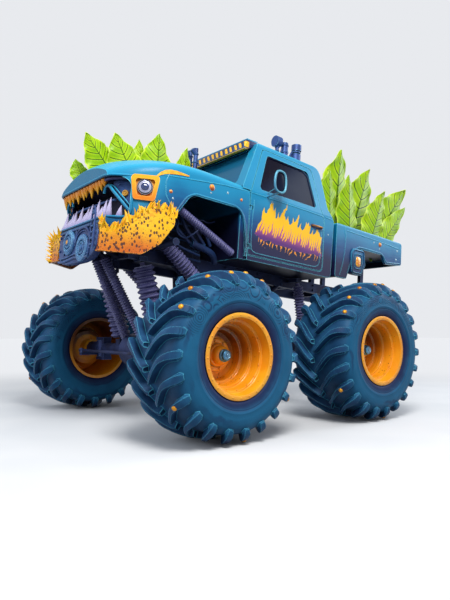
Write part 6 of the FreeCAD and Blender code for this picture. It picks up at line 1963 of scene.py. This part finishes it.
# ---- engine bay and lug caps ---------------------------------------------------------------------
# Headers, hoses and lines run round the engine in the open arches: bent tube, dark blue, with a painted
# highlight along the edges in worn-looking patches.
bay_pipe = steel_finish("bay pipe", (20, 30, 70), (30, 58, 108), (74, 168, 206), 0.4, 0.3)
# runs on one side of the engine, mirrored to the other: radius, then x, y, z from end to end
BAY_RUNS = [
    (
        0.022,
        [
            (1.05, 0.34, 2.42), (1.05, 0.50, 2.40), (1.02, 0.56, 2.28), (0.90, 0.58, 2.12),
            (0.70, 0.56, 2.02)
        ]
    ),
    (
        0.022,
        [
            (0.92, 0.34, 2.42), (0.92, 0.50, 2.40), (0.89, 0.58, 2.28), (0.80, 0.60, 2.14),
            (0.64, 0.58, 2.04)
        ]
    ),
    (
        0.022,
        [
            (0.79, 0.34, 2.42), (0.79, 0.50, 2.40), (0.76, 0.60, 2.28), (0.70, 0.62, 2.16),
            (0.58, 0.60, 2.06)
        ]
    ),
    (
        0.022,
        [
            (0.66, 0.34, 2.42), (0.66, 0.50, 2.40), (0.63, 0.61, 2.28), (0.58, 0.63, 2.18),
            (0.50, 0.61, 2.06)
        ]
    ),
    (0.040, [(0.76, 0.59, 2.05), (0.55, 0.60, 2.02), (0.40, 0.58, 1.96), (0.34, 0.50, 1.90)]),
    (
        0.014,
        [
            (1.18, 0.42, 2.30), (1.22, 0.58, 2.22), (1.15, 0.66, 2.05), (0.95, 0.66, 1.95),
            (0.66, 0.62, 1.92)
        ]
    ),
    (
        0.010,
        [
            (1.10, 0.62, 2.36), (1.00, 0.68, 2.26), (1.08, 0.70, 2.14), (0.95, 0.70, 2.05),
            (0.80, 0.68, 2.14), (0.70, 0.70, 2.26), (0.60, 0.68, 2.16)
        ]
    ),
    (
        0.009,
        [
            (0.50, 0.66, 2.36), (0.62, 0.70, 2.30), (0.74, 0.71, 2.34), (0.86, 0.70, 2.22),
            (0.98, 0.70, 2.34)
        ]
    ),
    (0.012, [(1.30, 0.30, 2.00), (1.20, 0.45, 1.95), (0.95, 0.55, 1.88), (0.60, 0.56, 1.86)])
]
bay = []
for side in (1, -1):
    for thick, run in BAY_RUNS:
        bay.append(body_tube("run", [(x, side * y, z) for x, y, z in run], thick, 4))
    for x in (1.05, 0.92, 0.79, 0.66):
        bay.append(stand(bolt("flange", 0.060, 0.018), on_body(x, side * 0.345, 2.42), Vector((0, side, 0))))
    for z in (2.02, 2.12, 2.22, 2.32):
        bay.append(
            body_tube(
                "fin", [(1.12, side * 0.37, z), (0.80, side * 0.375, z), (0.50, side * 0.37, z)], 0.012, 2
            )
        )
fit(together("bay_pipes", bay), "chassis", bay_pipe)

# Some shoulder lugs wear screwed brass caps.
cap_brass = steel_finish("lug cap", (168, 104, 20), (226, 160, 40), (255, 226, 120), 0.3, 0.6)
for place, (joint, side) in WHEELS.items():
    hub = Vector(pivots[joint])
    tread = bpy.data.objects["tread_" + place]
    caps = []
    for i, turn in enumerate((-62, -44, -30, -14, 4, 24, 118, 171, 232)):
        out = 0.318 + 0.04 * (i % 3 == 0)
        crown = None
        for step in range(-9, 10):  # the nearest lug, found by feeling for the highest rubber
            angle = math.radians(turn + step)
            around = Vector((-math.sin(angle), 0.0, math.cos(angle)))
            found, spot, facing, _ = tread.ray_cast(hub + around + Vector((0.0, side * out, 0.0)), -around)
            height = (spot - hub - Vector((0.0, side * out, 0.0))).length
            if found and (crown is None or height > crown[0]):
                crown = (height, spot, facing)
        caps.append(stand(rivet("cap", 0.026, 0.020), crown[1] - crown[2] * 0.006, crown[2]))
    fit(together("lug_caps_" + place, caps), "wheel_" + place, cap_brass)

# ---- tailgate trim -------------------------------------------------------------------------------
# A pressed bead frames the gate, with a paddle latch in the middle and a stud in each corner.
GATE_BEAD = [
    (-0.80, 2.18), (-0.80, 2.46), (-0.74, 2.50), (0.74, 2.50), (0.80, 2.46), (0.80, 2.18), (0.74, 2.14),
    (-0.74, 2.14)
]


def on_gate(y, z, lift):
    found, spot, facing, _ = nodes["tailgate"].ray_cast(on_body(-3.4, y, z), FORWARD)
    if not found:
        _, spot, facing, _ = nodes["tailgate"].closest_point_on_mesh(on_body(-3.0, y, z))
    return spot - FORWARD * lift


bead_places = [on_gate(y, z, 0.0) for y, z in along_route(GATE_BEAD + GATE_BEAD[:1], 0.1)]
gate_parts = [tube("bead", bead_places[:-1], 0.009, 3, closed=True)]
for y in (-0.70, 0.70):
    for z in (2.22, 2.42):
        gate_parts.append(stand(rivet("stud", 0.018, 0.012), on_gate(y, z, 0.0), -FORWARD))
fit(together("gate_bead", gate_parts), "gate", body_paint)
cup = turned("cup", [(0.075, -0.004), (0.078, 0.004), (0.070, 0.009), (0.062, 0.003), (0.0, 0.002)], 36)
stand(cup, on_gate(0.0, 2.40, 0.0), -FORWARD)
grip_places = [on_gate(y, 2.405, lift) for y, lift in ((-0.050, 0.010), (0.0, 0.014), (0.050, 0.010))]
paddle = tube("paddle", grip_places, 0.012, 3)
fit(together("gate_latch", [cup, paddle]), "gate", seal_rubber)
